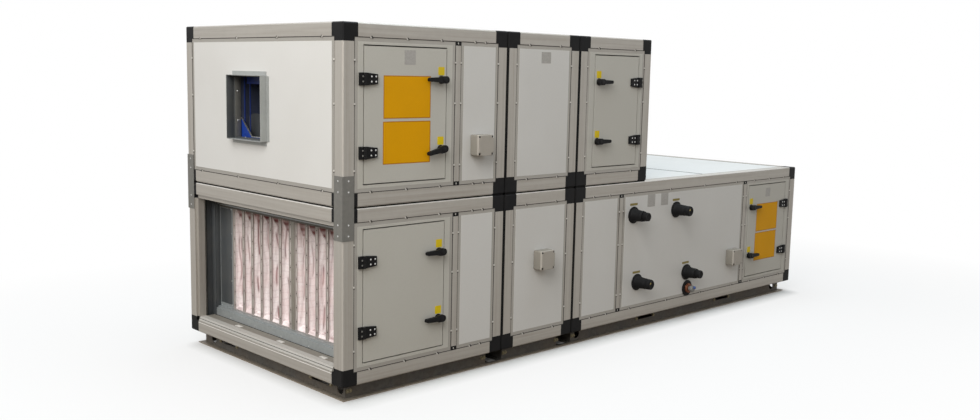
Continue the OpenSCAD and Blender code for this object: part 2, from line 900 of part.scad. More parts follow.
end_spindle_x = end_door_x + end_door_w - handle_in;
coil_spindle_x = coil_x + coil_door_x + handle_in;
upper_spindle_x = coil_x + upper_door_x + handle_in;

module inlet_handle_bases() {
    centred() for (height = handle_heights) translate([end_spindle_x, 0, lower_z + height]) handle_base();
}

module coil_handle_bases() {
    centred() for (height = handle_heights) translate([coil_spindle_x, 0, lower_z + height]) handle_base();
}

module inlet_lever_low() {
    centred() translate([end_spindle_x, 0, lower_z + handle_low_z]) lever(0);
}

module inlet_lever_high() {
    centred() translate([end_spindle_x, 0, lower_z + handle_high_z]) lever(0);
}

module coil_lever_low() {
    centred() translate([coil_spindle_x, 0, lower_z + handle_low_z]) mirror([1, 0, 0]) lever(0);
}

module coil_lever_high() {
    centred() translate([coil_spindle_x, 0, lower_z + handle_high_z]) mirror([1, 0, 0]) lever(0);
}

module upper_door_handles() {
    centred() translate([0, 0, upper_z]) {
        translate([end_spindle_x, 0, handle_high_z]) {
            handle_base();
            lever(0);
        }
        translate([end_spindle_x, 0, handle_low_z]) {
            handle_base();
            lever(lever_tilt);
        }
        for (height = handle_heights) translate([upper_spindle_x, 0, height]) {
            handle_base();
            mirror([1, 0, 0]) lever(0);
        }
    }
}

// Sheet frame with two openings that holds the filters across the inlet.
module filter_frame() {
    inner_w = casing_w - 2 * panel_t;
    inner_h = section_h - 2 * panel_t;
    seat = header_rim;
    color("#7d8589") centred() translate([0, panel_t, lower_z + panel_t]) {
        translate([header_x, 0, 0]) difference() {
            translate([header_t, 0, 0]) cube([filter_channel_t - header_t + filter_sheet_t, inner_w, inner_h]);
            for (place = [[filter_y, filter_narrow_w], [wide_filter_y, wide_filter_w]])
                translate([0, place[0] - panel_t + seat, filter_z - panel_t + seat])
                    cube([2 * filter_channel_t, place[1] - 2 * seat, filter_h - 2 * seat]);
        }
        filter_channel(inner_w, filter_z - panel_t);
        translate([0, 0, inner_h]) mirror([0, 0, 1]) filter_channel(inner_w, filter_top_in - panel_t);
        blank_plate(inner_w);
        side_channel();
        translate([0, inner_w, 0]) mirror([0, 1, 0]) side_channel();
    }
}

// Stepped channel along the bottom or the top of the filters, with its foot at zero.
module filter_channel(length, height) {
    front = filter_recess - filter_sill_out;
    riser = front + filter_lip_in;
    step = height - filter_lip_h;
    back = header_x + header_t;
    mirror([0, 1, 0]) rotate([90, 0, 0]) linear_extrude(length) polygon([
        [front, 0], [front + filter_sheet_t, 0], [front + filter_sheet_t, step - filter_sheet_t],
        [riser + filter_sheet_t, step - filter_sheet_t], [riser + filter_sheet_t, height - filter_sheet_t],
        [back - filter_sheet_t, height - filter_sheet_t], [back - filter_sheet_t, 0], [back, 0],
        [back, height], [riser, height], [riser, step], [front, step]
    ]);
}

// Upright angle that stands out along the near side of the filter frame.
module side_channel() {
    front = filter_recess - filter_sill_out + filter_lip_in;
    translate([front, 0, filter_z - panel_t]) {
        cube([filter_sheet_t, side_channel_w, filter_h]);
        translate([0, side_channel_w - filter_sheet_t, 0])
            cube([header_x + header_t + filter_sheet_t - front, filter_sheet_t, filter_h]);
    }
}

// Plate with a rim that closes the strip between the wide filter and the back of the casing.
module blank_plate(inner_w) {
    start = wide_filter_y + wide_filter_w - panel_t + filter_sheet_t;
    low = filter_z - panel_t;
    plate_w = inner_w - start;
    translate([header_x, start, low]) difference() {
        cube([header_t, plate_w, filter_h]);
        translate([-overrun, blank_rim, blank_rim])
            cube([filter_sheet_t + overrun, plate_w - 2 * blank_rim, filter_h - 2 * blank_rim]);
    }
}

// Filter with a flat header and tapering pockets, its face at zero and its pockets along +X.
module bag_filter(width, count) {
    pitch = (width - 2 * header_rim) / count;
    pocket_h = filter_h - 2 * header_rim;
    color("#d9cfcd") difference() {
        union() {
            cube([header_t, width, filter_h]);
            for (i = [0:count - 1]) translate([header_t, header_rim + (i + 0.5) * pitch, header_rim])
                linear_extrude(pocket_h) pocket_outline(pitch / 2 - seat_gap, pocket_len);
        }
        for (i = [0:count - 1])
            translate([header_t, header_rim + (i + 0.5) * pitch, header_rim + fabric_t])
                linear_extrude(pocket_h - 2 * fabric_t) {
                    pocket_outline(pitch / 2 - fabric_t, pocket_len - fabric_t);
                    translate([-header_t - overrun, fabric_t - pitch / 2])
                        square([header_t + 2 * overrun, pitch - 2 * fabric_t]);
                }
    }
}

pocket_tail_share = 0.3;

module pocket_outline(half, length) {
    tail = half * pocket_tail_share;
    polygon([[0, -half], [length, -tail], [length, tail], [0, half]]);
}

module wide_bag_filter() {
    centred() translate([header_x, wide_filter_y, lower_z + filter_z])
        bag_filter(wide_filter_w, pocket_count);
}

module narrow_bag_filter() {
    centred() translate([header_x, filter_y, lower_z + filter_z])
        bag_filter(filter_narrow_w, narrow_pocket_count);
}

// Four angle strips around the outlet, with open corners.
module outlet_collar() {
    color("#8d9294") centred() translate([0, outlet_y, fan_z])
        translate([0, outlet_size / 2, outlet_size / 2])
            for (turn = [0:3]) rotate([turn * 90, 0, 0])
                translate([0, -outlet_size / 2, outlet_size / 2 - collar_t])
                    mirror([1, 0, 0]) collar_strip();
}

module collar_strip() {
    width = outlet_size - 2 * collar_t;
    translate([-panel_recess, collar_t, 0]) cube([collar_out + panel_recess, width, collar_t]);
    translate([-panel_recess, collar_t, 0]) cube([collar_t, width, collar_flange + collar_t]);
}

// Rectangular duct through the end panel, with a flange inside.
module outlet_duct() {
    depth = panel_t - panel_recess;
    edge = collar_t + duct_flange_in;
    color("#3d4145") centred() translate([panel_recess, outlet_y, fan_z]) {
        duct_ring(depth, 0, collar_t);
        translate([duct_flange_x, 0, 0]) duct_ring(duct_flange_w, collar_t, edge);
    }
}

module duct_ring(depth, outer, inner) {
    difference() {
        translate([0, outer, outer]) cube([depth, outlet_size - 2 * outer, outlet_size - 2 * outer]);
        translate([-overrun, inner, inner])
            cube([depth + 2 * overrun, outlet_size - 2 * inner, outlet_size - 2 * inner]);
    }
}

function scroll_point(angle, inset) =
    let (radius = scroll_r + scroll_growth * angle / 360 - inset)
    [radius * sin(angle), -radius * cos(angle)];

fan_reach = scroll_r + scroll_growth;
scroll_start = -60;
scroll_end = 180;
scroll_step = 10;

// Spiral outline that grows from the cut-off, under the outlet, round to the top of the outlet.
module scroll_outline(inset) {
    top = scroll_r + scroll_growth / 2 - inset;
    polygon(concat(
        [for (angle = [scroll_start:scroll_step:scroll_end]) scroll_point(angle, inset)],
        [[-fan_reach, top], [-fan_reach, top - outlet_size + 2 * inset]]
    ));
}

// Places what is drawn with the fan axis along Z, its near side at zero.
module at_fan() {
    top = scroll_r + scroll_growth / 2;
    centred() translate([panel_t + fan_reach, outlet_y, fan_z + outlet_size - top])
        mirror([0, 1, 0]) rotate([90, 0, 0]) children();
}

// Curved strip of the fan housing, with a notched cut-off plate at the outlet.
module fan_scroll() {
    inner_w = outlet_size - 2 * scroll_t;
    color("#24418f") {
        at_fan() translate([0, 0, scroll_t]) linear_extrude(inner_w) difference() {
            scroll_outline(0);
            translate([-overrun, 0]) scroll_outline(scroll_t);
        }
        centred() translate([panel_t, outlet_y + scroll_t, fan_z + scroll_t])
            rotate([90, 0, 90]) linear_extrude(scroll_t) polygon([
                [0, 0], [inner_w, 0], [inner_w, cutoff_side_h],
                [inner_w - cutoff_slope_w, cutoff_middle_h], [cutoff_slope_w, cutoff_middle_h],
                [0, cutoff_side_h]
            ]);
    }
}

// Two flat side plates of the fan housing with their inlet holes.
module fan_side_plates() {
    color("#24418f") at_fan() for (low = [0, outlet_size - scroll_t]) translate([0, 0, low]) difference() {
        linear_extrude(scroll_t) scroll_outline(0);
        translate([0, 0, -overrun])
            cylinder(r = fan_inlet_r, h = scroll_t + 2 * overrun, $fn = round_fn);
    }
}

// Junction box with its lid, standing on a panel face.
module junction_box() {
    color("#aaa59b") translate([-box_w / 2, 0, -box_h / 2]) mirror([0, 1, 0]) {
        translate([0, -panel_recess, 0]) cube([box_w, box_d - box_lid_t + panel_recess, box_h]);
        translate([box_step, box_d - box_lid_t, box_step])
            cube([box_w - 2 * box_step, box_lid_t, box_h - 2 * box_step]);
    }
}

module junction_boxes() {
    centred() {
        translate([fan_box_x, 0, upper_z + fan_box_z]) junction_box();
        translate([middle_x + middle_box_x, 0, lower_z + middle_box_z]) junction_box();
        translate([coil_x + coil_box_x, 0, lower_z + coil_box_z]) junction_box();
    }
}

// Rubber boot with its flange on the panel, seen with its axis along Z.
module pipe_boot(bore_r) {
    rotate_extrude($fn = round_fn) polygon([
        [bore_r, 0], [boot_r, 0], [boot_r, boot_t], [neck_r + boot_t, boot_t],
        [neck_r, boot_t + boot_taper], [neck_r, neck_out], [bore_r, neck_out]
    ]);
}

// Flat rubber disc round the drain pipe.
module drain_disc() {
    rotate_extrude($fn = round_fn) polygon([
        [drain_r + seat_gap, 0], [boot_r, 0], [boot_r, boot_t], [drain_r + seat_gap, boot_t]
    ]);
}

// Places what is drawn along Z so that it stands out of the coil section's service side.
module on_coil_face(place) {
    translate([coil_x + place[0], panel_recess, lower_z + place[1]]) rotate([90, 0, 0]) children();
}

module pipe_boots() {
    color("#232325") centred() {
        for (place = stub_places) on_coil_face(place) pipe_boot(stub_r - stub_step + seat_gap);
        on_coil_face([drain_x, drain_z]) drain_disc();
    }
}

module pipe_stubs() {
    color("#3a3b3d") centred() for (place = stub_places)
        on_coil_face(place) rotate_extrude($fn = round_fn) polygon([
            [0, 0], [stub_r - stub_step, 0], [stub_r - stub_step, neck_out + seat_gap],
            [stub_r, neck_out + seat_gap], [stub_r, stub_out + panel_recess],
            [stub_r - stub_wall, stub_out + panel_recess], [stub_r - stub_wall, neck_out + stub_wall],
            [0, neck_out + stub_wall]
        ]);
}

module drain_stub() {
    bore_r = drain_r - stub_wall;
    color("#8b8d8c") centred() on_coil_face([drain_x, drain_z]) rotate_extrude($fn = round_fn) polygon([
        [0, 0], [drain_r, 0], [drain_r, boot_t + seat_gap], [drain_nut_r, boot_t + seat_gap],
        [drain_nut_r, boot_t + drain_nut_t], [drain_r, boot_t + drain_nut_t],
        [drain_r, drain_out], [bore_r, drain_out], [bore_r, boot_t + drain_nut_t], [0, boot_t + drain_nut_t]
    ]);
}

module frame_inlet() {
    centred() translate([0, 0, lower_z]) section_frame(end_len);
}

module frame_lower_middle() {
    centred() translate([middle_x, 0, lower_z]) section_frame(middle_len);
}

module frame_coil() {
    centred() translate([coil_x, 0, lower_z]) section_frame(coil_len);
}

module frame_fan() {
    centred() translate([0, 0, upper_z]) section_frame(end_len);
}

module frame_upper_middle() {
    centred() translate([middle_x, 0, upper_z]) section_frame(middle_len);
}

module frame_upper_end() {
    centred() translate([coil_x, 0, upper_z]) section_frame(upper_end_len);
}

frame_inlet();
frame_lower_middle();
frame_coil();
frame_fan();
frame_upper_middle();
frame_upper_end();
panels_inlet();
panels_lower_middle();
panels_coil();
panels_fan();
panels_upper_middle();
panels_upper_end();
corner_blocks_lower();
corner_blocks_upper();
uprights();
beads_lower();
beads_upper();
section_gaskets();
base_side_channels();
base_end_channels();
splice_plates();
door_frames();
inlet_door();
coil_door();
fan_door();
upper_end_door();
inlet_door_hinge_leaves();
coil_door_hinge_leaves();
frame_hinge_leaves();
upper_door_hinges();
inlet_handle_bases();
coil_handle_bases();
inlet_lever_low();
inlet_lever_high();
coil_lever_low();
coil_lever_high();
upper_door_handles();
filter_frame();
wide_bag_filter();
narrow_bag_filter();
outlet_collar();
outlet_duct();
fan_scroll();
fan_side_plates();
junction_boxes();
pipe_boots();
pipe_stubs();
drain_stub();
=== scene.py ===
"""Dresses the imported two-tier air handling unit and sets up its studio view.

The solids come from the frame. This file gives every one of them a finish, and adds the
pieces that are too small or too soft for the solids: filter pockets, clips, screws,
rivets, plates and the fittings round the pipes.
"""

import logging
import math
from collections.abc import Iterable, Sequence
from dataclasses import dataclass, field
from enum import Enum

import bmesh
import bpy
from mathutils import Matrix, Vector, noise

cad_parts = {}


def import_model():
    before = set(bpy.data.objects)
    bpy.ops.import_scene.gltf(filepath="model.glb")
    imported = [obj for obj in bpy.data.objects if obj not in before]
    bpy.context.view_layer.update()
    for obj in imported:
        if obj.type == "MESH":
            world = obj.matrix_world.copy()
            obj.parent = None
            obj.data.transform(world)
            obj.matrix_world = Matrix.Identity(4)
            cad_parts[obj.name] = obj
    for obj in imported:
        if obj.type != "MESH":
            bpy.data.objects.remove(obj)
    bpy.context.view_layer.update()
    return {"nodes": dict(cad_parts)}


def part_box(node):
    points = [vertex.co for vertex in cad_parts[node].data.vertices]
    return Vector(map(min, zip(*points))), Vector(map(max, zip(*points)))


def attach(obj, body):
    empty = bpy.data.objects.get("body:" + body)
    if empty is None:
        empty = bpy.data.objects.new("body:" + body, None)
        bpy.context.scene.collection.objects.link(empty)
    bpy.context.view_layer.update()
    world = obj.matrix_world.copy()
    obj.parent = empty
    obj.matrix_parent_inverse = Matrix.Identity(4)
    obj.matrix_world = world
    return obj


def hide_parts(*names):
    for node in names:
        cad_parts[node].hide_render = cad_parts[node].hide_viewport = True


LOG = logging.getLogger("air_handling_unit")

MM = 0.001
CASING = "casing"
X_AXIS = Vector((1, 0, 0))
Y_AXIS = Vector((0, 1, 0))
Z_AXIS = Vector((0, 0, 1))
EVEN = (1.0, 1.0, 1.0)
WHITE = "#ffffff"

Point = tuple[float, float, float]
Span = tuple[float, float]
Box = tuple[float, float, float, float]
Colour = tuple[float, float, float, float]
Material = bpy.types.Material
Tree = bpy.types.ShaderNodeTree
Socket = bpy.types.NodeSocket


def linear(code: str) -> Colour:
    """Turns an sRGB hex code into linear colour.

    Args:
        code: Six hex digits with a leading hash.

    Returns:
        Red, green, blue and alpha, each from 0 to 1.
    """
    parts = [int(code[i : i + 2], 16) / 255 for i in (1, 3, 5)]
    red, green, blue = (
        p / 12.92 if p <= 0.04045 else ((p + 0.055) / 1.055) ** 2.4 for p in parts
    )
    return red, green, blue, 1.0


def add_node(
    tree: Tree,
    kind: str,
    settings: dict[str, object] | None = None,
    inputs: dict[str | int, object] | None = None,
) -> bpy.types.Node:
    """Adds one node with its settings, values and links.

    Args:
        tree: The node tree that gets the node.
        kind: Blender's name of the node class.
        settings: Properties of the node by name.
        inputs: Values, or sockets to link from, by input name or number.

    Returns:
        The new node.
    """
    node = tree.nodes.new(kind)
    for name, value in (settings or {}).items():
        setattr(node, name, value)
    for key, value in (inputs or {}).items():
        if isinstance(value, Socket):
            tree.links.new(value, node.inputs[key])
        else:
            node.inputs[key].default_value = value
    return node


def maths(tree: Tree, operation: str, *values: Socket | float | Point, kind: str = "") -> Socket:
    """Adds one step of arithmetic.

    Args:
        tree: The node tree that gets it.
        operation: Blender's name of the operation.
        values: Sockets to link from, or plain values.
        kind: "Vector" for arithmetic with vectors.

    Returns:
        The socket with the result.
    """
    name = f"ShaderNode{kind}Math"
    node = add_node(tree, name, {"operation": operation}, dict(enumerate(values)))
    return node.outputs["Value" if operation == "LENGTH" else 0]


def ramp(tree: Tree, *values: Socket | float) -> Socket:
    """Maps a value from one range to another.

    Args:
        tree: The node tree that gets the step.
        values: The value, then both ends of its range and, unless 0 and 1, of the result's.

    Returns:
        The socket with the result.
    """
    return add_node(tree, "ShaderNodeMapRange", None, dict(enumerate(values))).outputs[0]


def blend(tree: Tree, share: Socket, low: Socket | Colour, high: Socket | Colour) -> Socket:
    """Mixes two colours.

    Args:
        tree: The node tree that gets the step.
        share: Share of the second colour.
        low: The first colour.
        high: The second colour.

    Returns:
        The socket with the mixed colour.
    """
    inputs = {0: share, 6: low, 7: high}
    return add_node(tree, "ShaderNodeMix", {"data_type": "RGBA"}, inputs).outputs[2]


class Pattern(Enum):
    """Ways in which a surface was made, each with its own fine structure."""

    COATED = "roller-coated sheet"
    EXTRUDED = "extruded through a die"
    MOULDED = "moulded with a grain"
    SPANGLED = "dipped in zinc"
    SPUN = "spun-bonded fleece"
    SPRAYED = "sprayed enamel"
    PRINTED = "printed film"


@dataclass(frozen=True)
class Finish:
    """One finish: what the surface is and what its small structure does to light.

    The real grain of moulded, coated and sprayed surfaces is under 1 mm. It is drawn 2 to
    9 mm wide so that it shows at the size of the photograph.

    Attributes:
        name: Name of the material.
        colour: Main colour as sRGB hex.
        shade: Colour of the darker parts of the pattern as sRGB hex.
        pattern: How the surface was made.
        grain: Size of the fine structure in millimetres.
        relief: Height of the fine structure in millimetres.
        rough: Middle roughness.
        rough_spread: Spread of roughness to each side.
        metal: Metallic value.
        soil: Colour of the dust as sRGB hex.
        soil_share: Strongest share of dust on the surface.
        soil_size: Size of the dusty patches in millimetres.
        ior: Index of refraction, left out for metals.
        sheen: Weight of the fibre sheen.
        coat: Weight of a clear skin over the surface.
    """

    name: str
    colour: str
    shade: str
    pattern: Pattern
    grain: float
    relief: float
    rough: float
    rough_spread: float = 0.05
    metal: float = 0.0
    soil: str = "#8b8578"
    soil_share: float = 0.12
    soil_size: float = 420.0
    ior: float = 1.5
    sheen: float = 0.0
    coat: float = 0.0

    def material(self) -> Material:
        """Builds the material at the first call.

        Returns:
            The material, the same one at each call.
        """
        known = bpy.data.materials.get(self.name)
        if known is not None:
            return known
        made = bpy.data.materials.new(self.name)
        made.use_nodes = True
        tree = made.node_tree
        tree.nodes.clear()
        place = add_node(tree, "ShaderNodeTexCoord").outputs["Object"]
        fine = self.fine_structure(tree, place)
        body = blend(tree, fine, linear(self.colour), linear(self.shade))
        body = self.painted_fold_shade(tree, place, body)
        skin = blend(tree, self.dust(tree, place), body, linear(self.soil))
        smooth, dull = self.rough - self.rough_spread, min(1.0, self.rough + self.rough_spread)
        gloss = ramp(tree, self.cloud(tree, place, self.grain * 9), 0.3, 0.7, smooth, dull)
        height = {"Strength": 0.7, "Distance": self.relief * MM, "Height": fine}
        bump = add_node(tree, "ShaderNodeBump", None, height).outputs[0]
        inputs = {"Base Color": skin, "Roughness": gloss, "Normal": bump, "Metallic": self.metal}
        if not self.metal:
            inputs["IOR"] = self.ior
        if self.sheen:
            inputs |= {"Sheen Weight": self.sheen, "Sheen Roughness": 0.6}
        if self.coat:
            inputs |= {"Coat Weight": self.coat, "Coat Roughness": 0.3}
        shader = add_node(tree, "ShaderNodeBsdfPrincipled", None, inputs)
        add_node(tree, "ShaderNodeOutputMaterial", None, {"Surface": shader.outputs[0]})
        return made

    def scaled(self, tree: Tree, place: Socket, size: float, stretch: Point = EVEN) -> Socket:
        """Scales object coordinates so that one unit is one grain.

        Args:
            tree: The material's node tree.
            place: Object coordinates.
            size: Size of one grain in millimetres.
            stretch: How many times longer a grain is along each axis.

        Returns:
            The socket with the scaled coordinates.
        """
        inputs = {"Vector": place, "Scale": tuple(1 / (size * MM * s) for s in stretch)}
        return add_node(tree, "ShaderNodeMapping", None, inputs).outputs[0]

    def cloud(self, tree: Tree, place: Socket, size: float, stretch: Point = EVEN) -> Socket:
        """Adds a noise.

        Args:
            tree: The material's node tree.
            place: Object coordinates.
            size: Size of one grain in millimetres.
            stretch: How many times longer a grain is along each axis.

        Returns:
            The socket with the value of the noise.
        """
        vector = self.scaled(tree, place, size, stretch)
        inputs = {"Vector": vector, "Scale": 1.0, "Detail": 3.0}
        return add_node(tree, "ShaderNodeTexNoise", None, inputs).outputs[0]

    def fine_structure(self, tree: Tree, place: Socket) -> Socket:
        """Adds the fine structure that belongs to the pattern.

        Args:
            tree: The material's node tree.
            place: Object coordinates.

        Returns:
            The socket with the value of the structure.
        """
        if self.pattern is Pattern.EXTRUDED:
            return self.drawn(tree, place, self.grain)
        if self.pattern is Pattern.SPANGLED:
            inputs = {"Vector": self.scaled(tree, place, self.grain), "Scale": 1.0}
            cells = add_node(tree, "ShaderNodeTexVoronoi", None, inputs).outputs["Color"]
            return add_node(tree, "ShaderNodeSeparateColor", None, {0: cells}).outputs[0]
        if self.pattern is Pattern.SPUN:
            return ramp(tree, self.cloud(tree, place, self.grain, (1.0, 1.0, 2.5)), 0.35, 0.7)
        return self.cloud(tree, place, self.grain)

    def drawn(self, tree: Tree, place: Socket, size: float) -> Socket:
        """Adds lines along the profile: level in the rails, upright in the posts.

        Args:
            tree: The material's node tree.
            place: Object coordinates.
            size: Width of one line in millimetres.

        Returns:
            The socket with the value of the lines.
        """
        long = 60.0
        rail = self.cloud(tree, place, size, (long, long, 1.0))
        post = self.cloud(tree, place, size, (1.0, 1.0, long))
        inputs = {0: self.rail_share(tree, place), 2: post, 3: rail}
        return add_node(tree, "ShaderNodeMix", {"data_type": "FLOAT"}, inputs).outputs[0]

    def rail_share(self, tree: Tree, place: Socket) -> Socket:
        """Tells the level rails of a tier from its posts.

        Args:
            tree: The material's node tree.
            place: Object coordinates.

        Returns:
            The socket with 1 in the rails and 0 in the posts.
        """
        height = add_node(tree, "ShaderNodeSeparateXYZ", None, {0: place}).outputs[2]
        raised = maths(tree, "SUBTRACT", height, PLAN.base_h * MM)
        inside = maths(tree, "MODULO", raised, PLAN.upper_z * MM)
        low = maths(tree, "LESS_THAN", inside, PLAN.leg * MM)
        high = maths(tree, "GREATER_THAN", inside, (PLAN.section_h - PLAN.leg) * MM)
        return maths(tree, "MAXIMUM", low, high)

    def painted_fold_shade(self, tree: Tree, place: Socket, body: Socket) -> Socket:
        """Paints shade on fleece in dark red: in the folds that its mesh marks and along the thread
        lines; other finishes pass through.

        Args:
            tree: The material's node tree.
            place: Object coordinates.
            body: Colour of the fleece.

        Returns:
            The socket with the colour under its painted shade.
        """
        if self.pattern is not Pattern.SPUN:
            return body
        marked = {"attribute_name": "painted_fold_shade"}
        fold = add_node(tree, "ShaderNodeAttribute", marked).outputs["Fac"]
        # The threads across a pocket press a faint line into it every 38 mm; the shade in that line
        # is painted.
        waves = add_node(
            tree,
            "ShaderNodeTexWave",
            {"wave_type": "BANDS", "bands_direction": "Z"},
            {
                "Vector": self.scaled(tree, place, 38.0 * 20 / math.tau),
                "Scale": 1.0,
                "Distortion": 3.5,
                "Detail": 2.0,
                "Detail Scale": 2.0,
            },
        ).outputs["Fac"]
        thread_shade = ramp(tree, waves, 0.88, 1.0, 0.0, 0.12)
        # Dark red painted shade in the folds and along the thread lines.
        return blend(tree, maths(tree, "MAXIMUM", fold, thread_shade), body, linear("#6e2827"))

    def dust(self, tree: Tree, place: Socket) -> Socket:
        """Adds soft patches of dust, or streaks on a profile.

        Args:
            tree: The material's node tree.
            place: Object coordinates.

        Returns:
            The socket with the share of dust.
        """
        if self.pattern is Pattern.EXTRUDED:
            patches = self.drawn(tree, place, self.grain * 4)
        else:
            patches = self.cloud(tree, place, self.soil_size)
        return ramp(tree, patches, 0.42, 0.72, 0.0, self.soil_share)


# Aluminium pressed through a die and anodised: a dull warm grey with faint lines along it,
# under a clear oxide skin that shines at a low angle. The real lines are under 1 mm apart and
# are drawn 4 mm wide so that they show.
PROFILE = Finish(
    "extruded_aluminium", "#b0aba3", "#a8a39b", Pattern.EXTRUDED, 4.0, 0.05, 0.64,
    metal=0.55, soil="#897f73", soil_share=0.35, coat=0.6,
)
# Galvanised steel with a roller-coated polyester skin: even, off-white, with a soft sheen.
PANEL = Finish(
    "coated_steel_sheet", "#d9d8d5", "#d4d3d0", Pattern.COATED, 7.0, 0.04, 0.42,
    soil="#b3aea4", soil_share=0.1,
)
# The same sheet on the doors, a shade warmer.
DOOR = Finish(
    "coated_steel_door", "#c3c1b9", "#bdbbb3", Pattern.COATED, 7.0, 0.04, 0.4,
    soil="#b0aa9d", soil_share=0.12,
)
# Grey rigid PVC drawn into a strip, with metal flake in it: satin, slightly pink.
BEAD = Finish(
    "extruded_flake_pvc", "#aba7a0", "#a4a099", Pattern.EXTRUDED, 4.0, 0.05, 0.5,
    metal=0.5, soil_share=0.15,
)
# The same strip without flake over the sill: paler and duller.
SILL_PVC = Finish(
    "extruded_pvc", "#bab7b1", "#b2afa9", Pattern.EXTRUDED, 4.0, 0.05, 0.5, soil_share=0.15,
)
# Nylon moulded with a spark-eroded grain: black, with a broad soft highlight.
NYLON = Finish(
    "moulded_nylon", "#171718", "#101011", Pattern.MOULDED, 3.0, 0.12, 0.48,
    soil="#3e3b38", soil_share=0.1, soil_size=90.0, ior=1.22,
)
# Extruded EPDM seal in the grooves: dark grey and dull. It also colours the dark ticks that paint
# the clips' shadows.
SEAL = Finish(
    "extruded_epdm", "#4b4947", "#403e3c", Pattern.MOULDED, 3.0, 0.1, 0.85, soil_share=0.1,
    ior=1.3,
)
# Closed-cell foam strip: dull black.
FOAM = Finish(
    "foamed_epdm", "#151515", "#0d0d0d", Pattern.MOULDED, 2.5, 0.3, 0.9, soil_share=0.05,
    ior=1.25,
)
# Steel dipped in molten zinc and rolled flat: grey, with crystals of 10 to 20 mm that hardly
# part from each other.
ZINC = Finish(
    "galvanised_steel", "#787671", "#71706b", Pattern.SPANGLED, 14.0, 0.02, 0.45,
    metal=0.35, soil="#6f6c66", soil_share=0.2, soil_size=160.0,
)
# The same sheet on the filter rails, cleaner and bluer.
RAIL_ZINC = Finish(
    "bright_galvanised_steel", "#9fa3a3", "#979b9b", Pattern.SPANGLED, 14.0, 0.02, 0.42,
    metal=0.35, soil="#7f8382", soil_share=0.2, soil_size=200.0,
)
# The strips round the filters, of the same sheet, stained brown by dust.
STRIP_ZINC = Finish(
    "stained_galvanised_steel", "#928c82", "#898379", Pattern.SPANGLED, 14.0, 0.02, 0.5,
    metal=0.25, soil="#77726a", soil_share=0.25, soil_size=200.0,
)
# The outlet collar, of the same sheet, newer and paler.
COLLAR_ZINC = Finish(
    "clean_galvanised_steel", "#a6a8a6", "#a1a3a0", Pattern.SPANGLED, 14.0, 0.01, 0.5,
    metal=0.3, soil="#8a8c89", soil_share=0.2, soil_size=140.0,
)
# The base channels, dipped and weathered to a dark brownish grey. The same finish paints the shadow
# band above the filters.
BASE_ZINC = Finish(
    "weathered_galvanised_steel", "#5f5c57", "#53504b", Pattern.SPANGLED, 18.0, 0.05, 0.55,
    metal=0.25, soil="#6a5a48", soil_share=0.4, soil_size=200.0,
)
# Dark grey coated sheet of the flexible connector frame. It also makes the dark sheets at the far
# side of the filter opening and the sheet that paints the shade in the outlet collar.
DUCT = Finish(
    "coated_dark_sheet", "#4a4d4f", "#434648", Pattern.COATED, 5.0, 0.05, 0.5,
    soil_share=0.1, soil_size=90.0,
)
# Cut-off sheet of the fan, sprayed with blue enamel: glossy with slight orange peel. This is the
# lit copy: brighter blue, painting the light on the cut-off's face.
LIT_ENAMEL = Finish(
    "sprayed_enamel", "#1d3f96", "#183686", Pattern.SPRAYED, 5.0, 0.08, 0.3,
    soil="#3b4566", soil_share=0.1, soil_size=80.0,
)
# Folded seams of the fan housing, where the enamel ran thicker.
SEAM_ENAMEL = Finish(
    "thick_sprayed_enamel", "#203272", "#1a2a66", Pattern.SPRAYED, 5.0, 0.08, 0.35,
    soil="#2a345c", soil_share=0.15, soil_size=80.0, ior=1.3,
)
# Inside of the fan housing: a greyer copy of the same enamel, which paints the shade inside the
# housing.
SHADED_ENAMEL = Finish(
    "sprayed_enamel_shaded_copy", "#4b5164", "#414659", Pattern.SPRAYED, 5.0, 0.08, 0.4,
    soil="#1b2238", soil_share=0.2, soil_size=80.0, ior=1.3,
)
# Junction box lids, moulded in warm grey ABS with a fine grain.
BOX_ABS = Finish(
    "moulded_abs", "#aea89f", "#a6a097", Pattern.MOULDED, 2.5, 0.08, 0.5,
    soil_share=0.15, soil_size=60.0,
)
# Junction box bodies: a darker copy of the same ABS, which paints the shade on the box sides.
SHADED_BOX_ABS = Finish(
    "moulded_abs_shaded_copy", "#8a857c", "#827d74", Pattern.MOULDED, 2.5, 0.08, 0.55,
    soil_share=0.2, soil_size=60.0,
)
# Rubber boots: soft black with a grey bloom.
RUBBER = Finish(
    "moulded_rubber", "#1a1a1b", "#131314", Pattern.MOULDED, 4.0, 0.15, 0.62,
    soil="#2c2b2a", soil_share=0.2, soil_size=70.0, ior=1.22,
)
# Pipe ends inside the boots, painted dark.
PIPE = Finish(
    "painted_pipe", "#262627", "#1d1d1e", Pattern.SPRAYED, 4.0, 0.06, 0.5,
    soil="#353433", soil_share=0.15, ior=1.28,
)
# Brass: yellow metal, lightly tarnished.
BRASS = Finish(
    "machined_brass", "#b5a468", "#9d8c55", Pattern.SPRAYED, 3.0, 0.02, 0.35, metal=1.0,
)
# Steel bolts passivated yellow, dulled by dust.
BOLT = Finish(
    "passivated_steel", "#9a9176", "#857d66", Pattern.SPRAYED, 3.0, 0.02, 0.45, metal=0.6,
)
# Upper side of the base channel's flange: a lighter copy of the weathered zinc that paints the
# light on this upward face, and dusty.
LIT_FLANGE_ZINC = Finish(
    "galvanised_steel_lit_copy", "#7d756a", "#716a5f", Pattern.SPANGLED, 18.0, 0.05, 0.6,
    metal=0.2, soil="#75695a", soil_share=0.4, soil_size=160.0,
)
# Edge of the base channel's flange: a light brownish strip that paints the highlight along the
# edge.
FLANGE_EDGE_HIGHLIGHT = Finish(
    "galvanised_steel_edge_highlight", "#9b8f80", "#877a6b", Pattern.SPANGLED, 12.0, 0.03, 0.5,
    metal=0.3, soil="#7d6650", soil_share=0.4, soil_size=120.0,
)
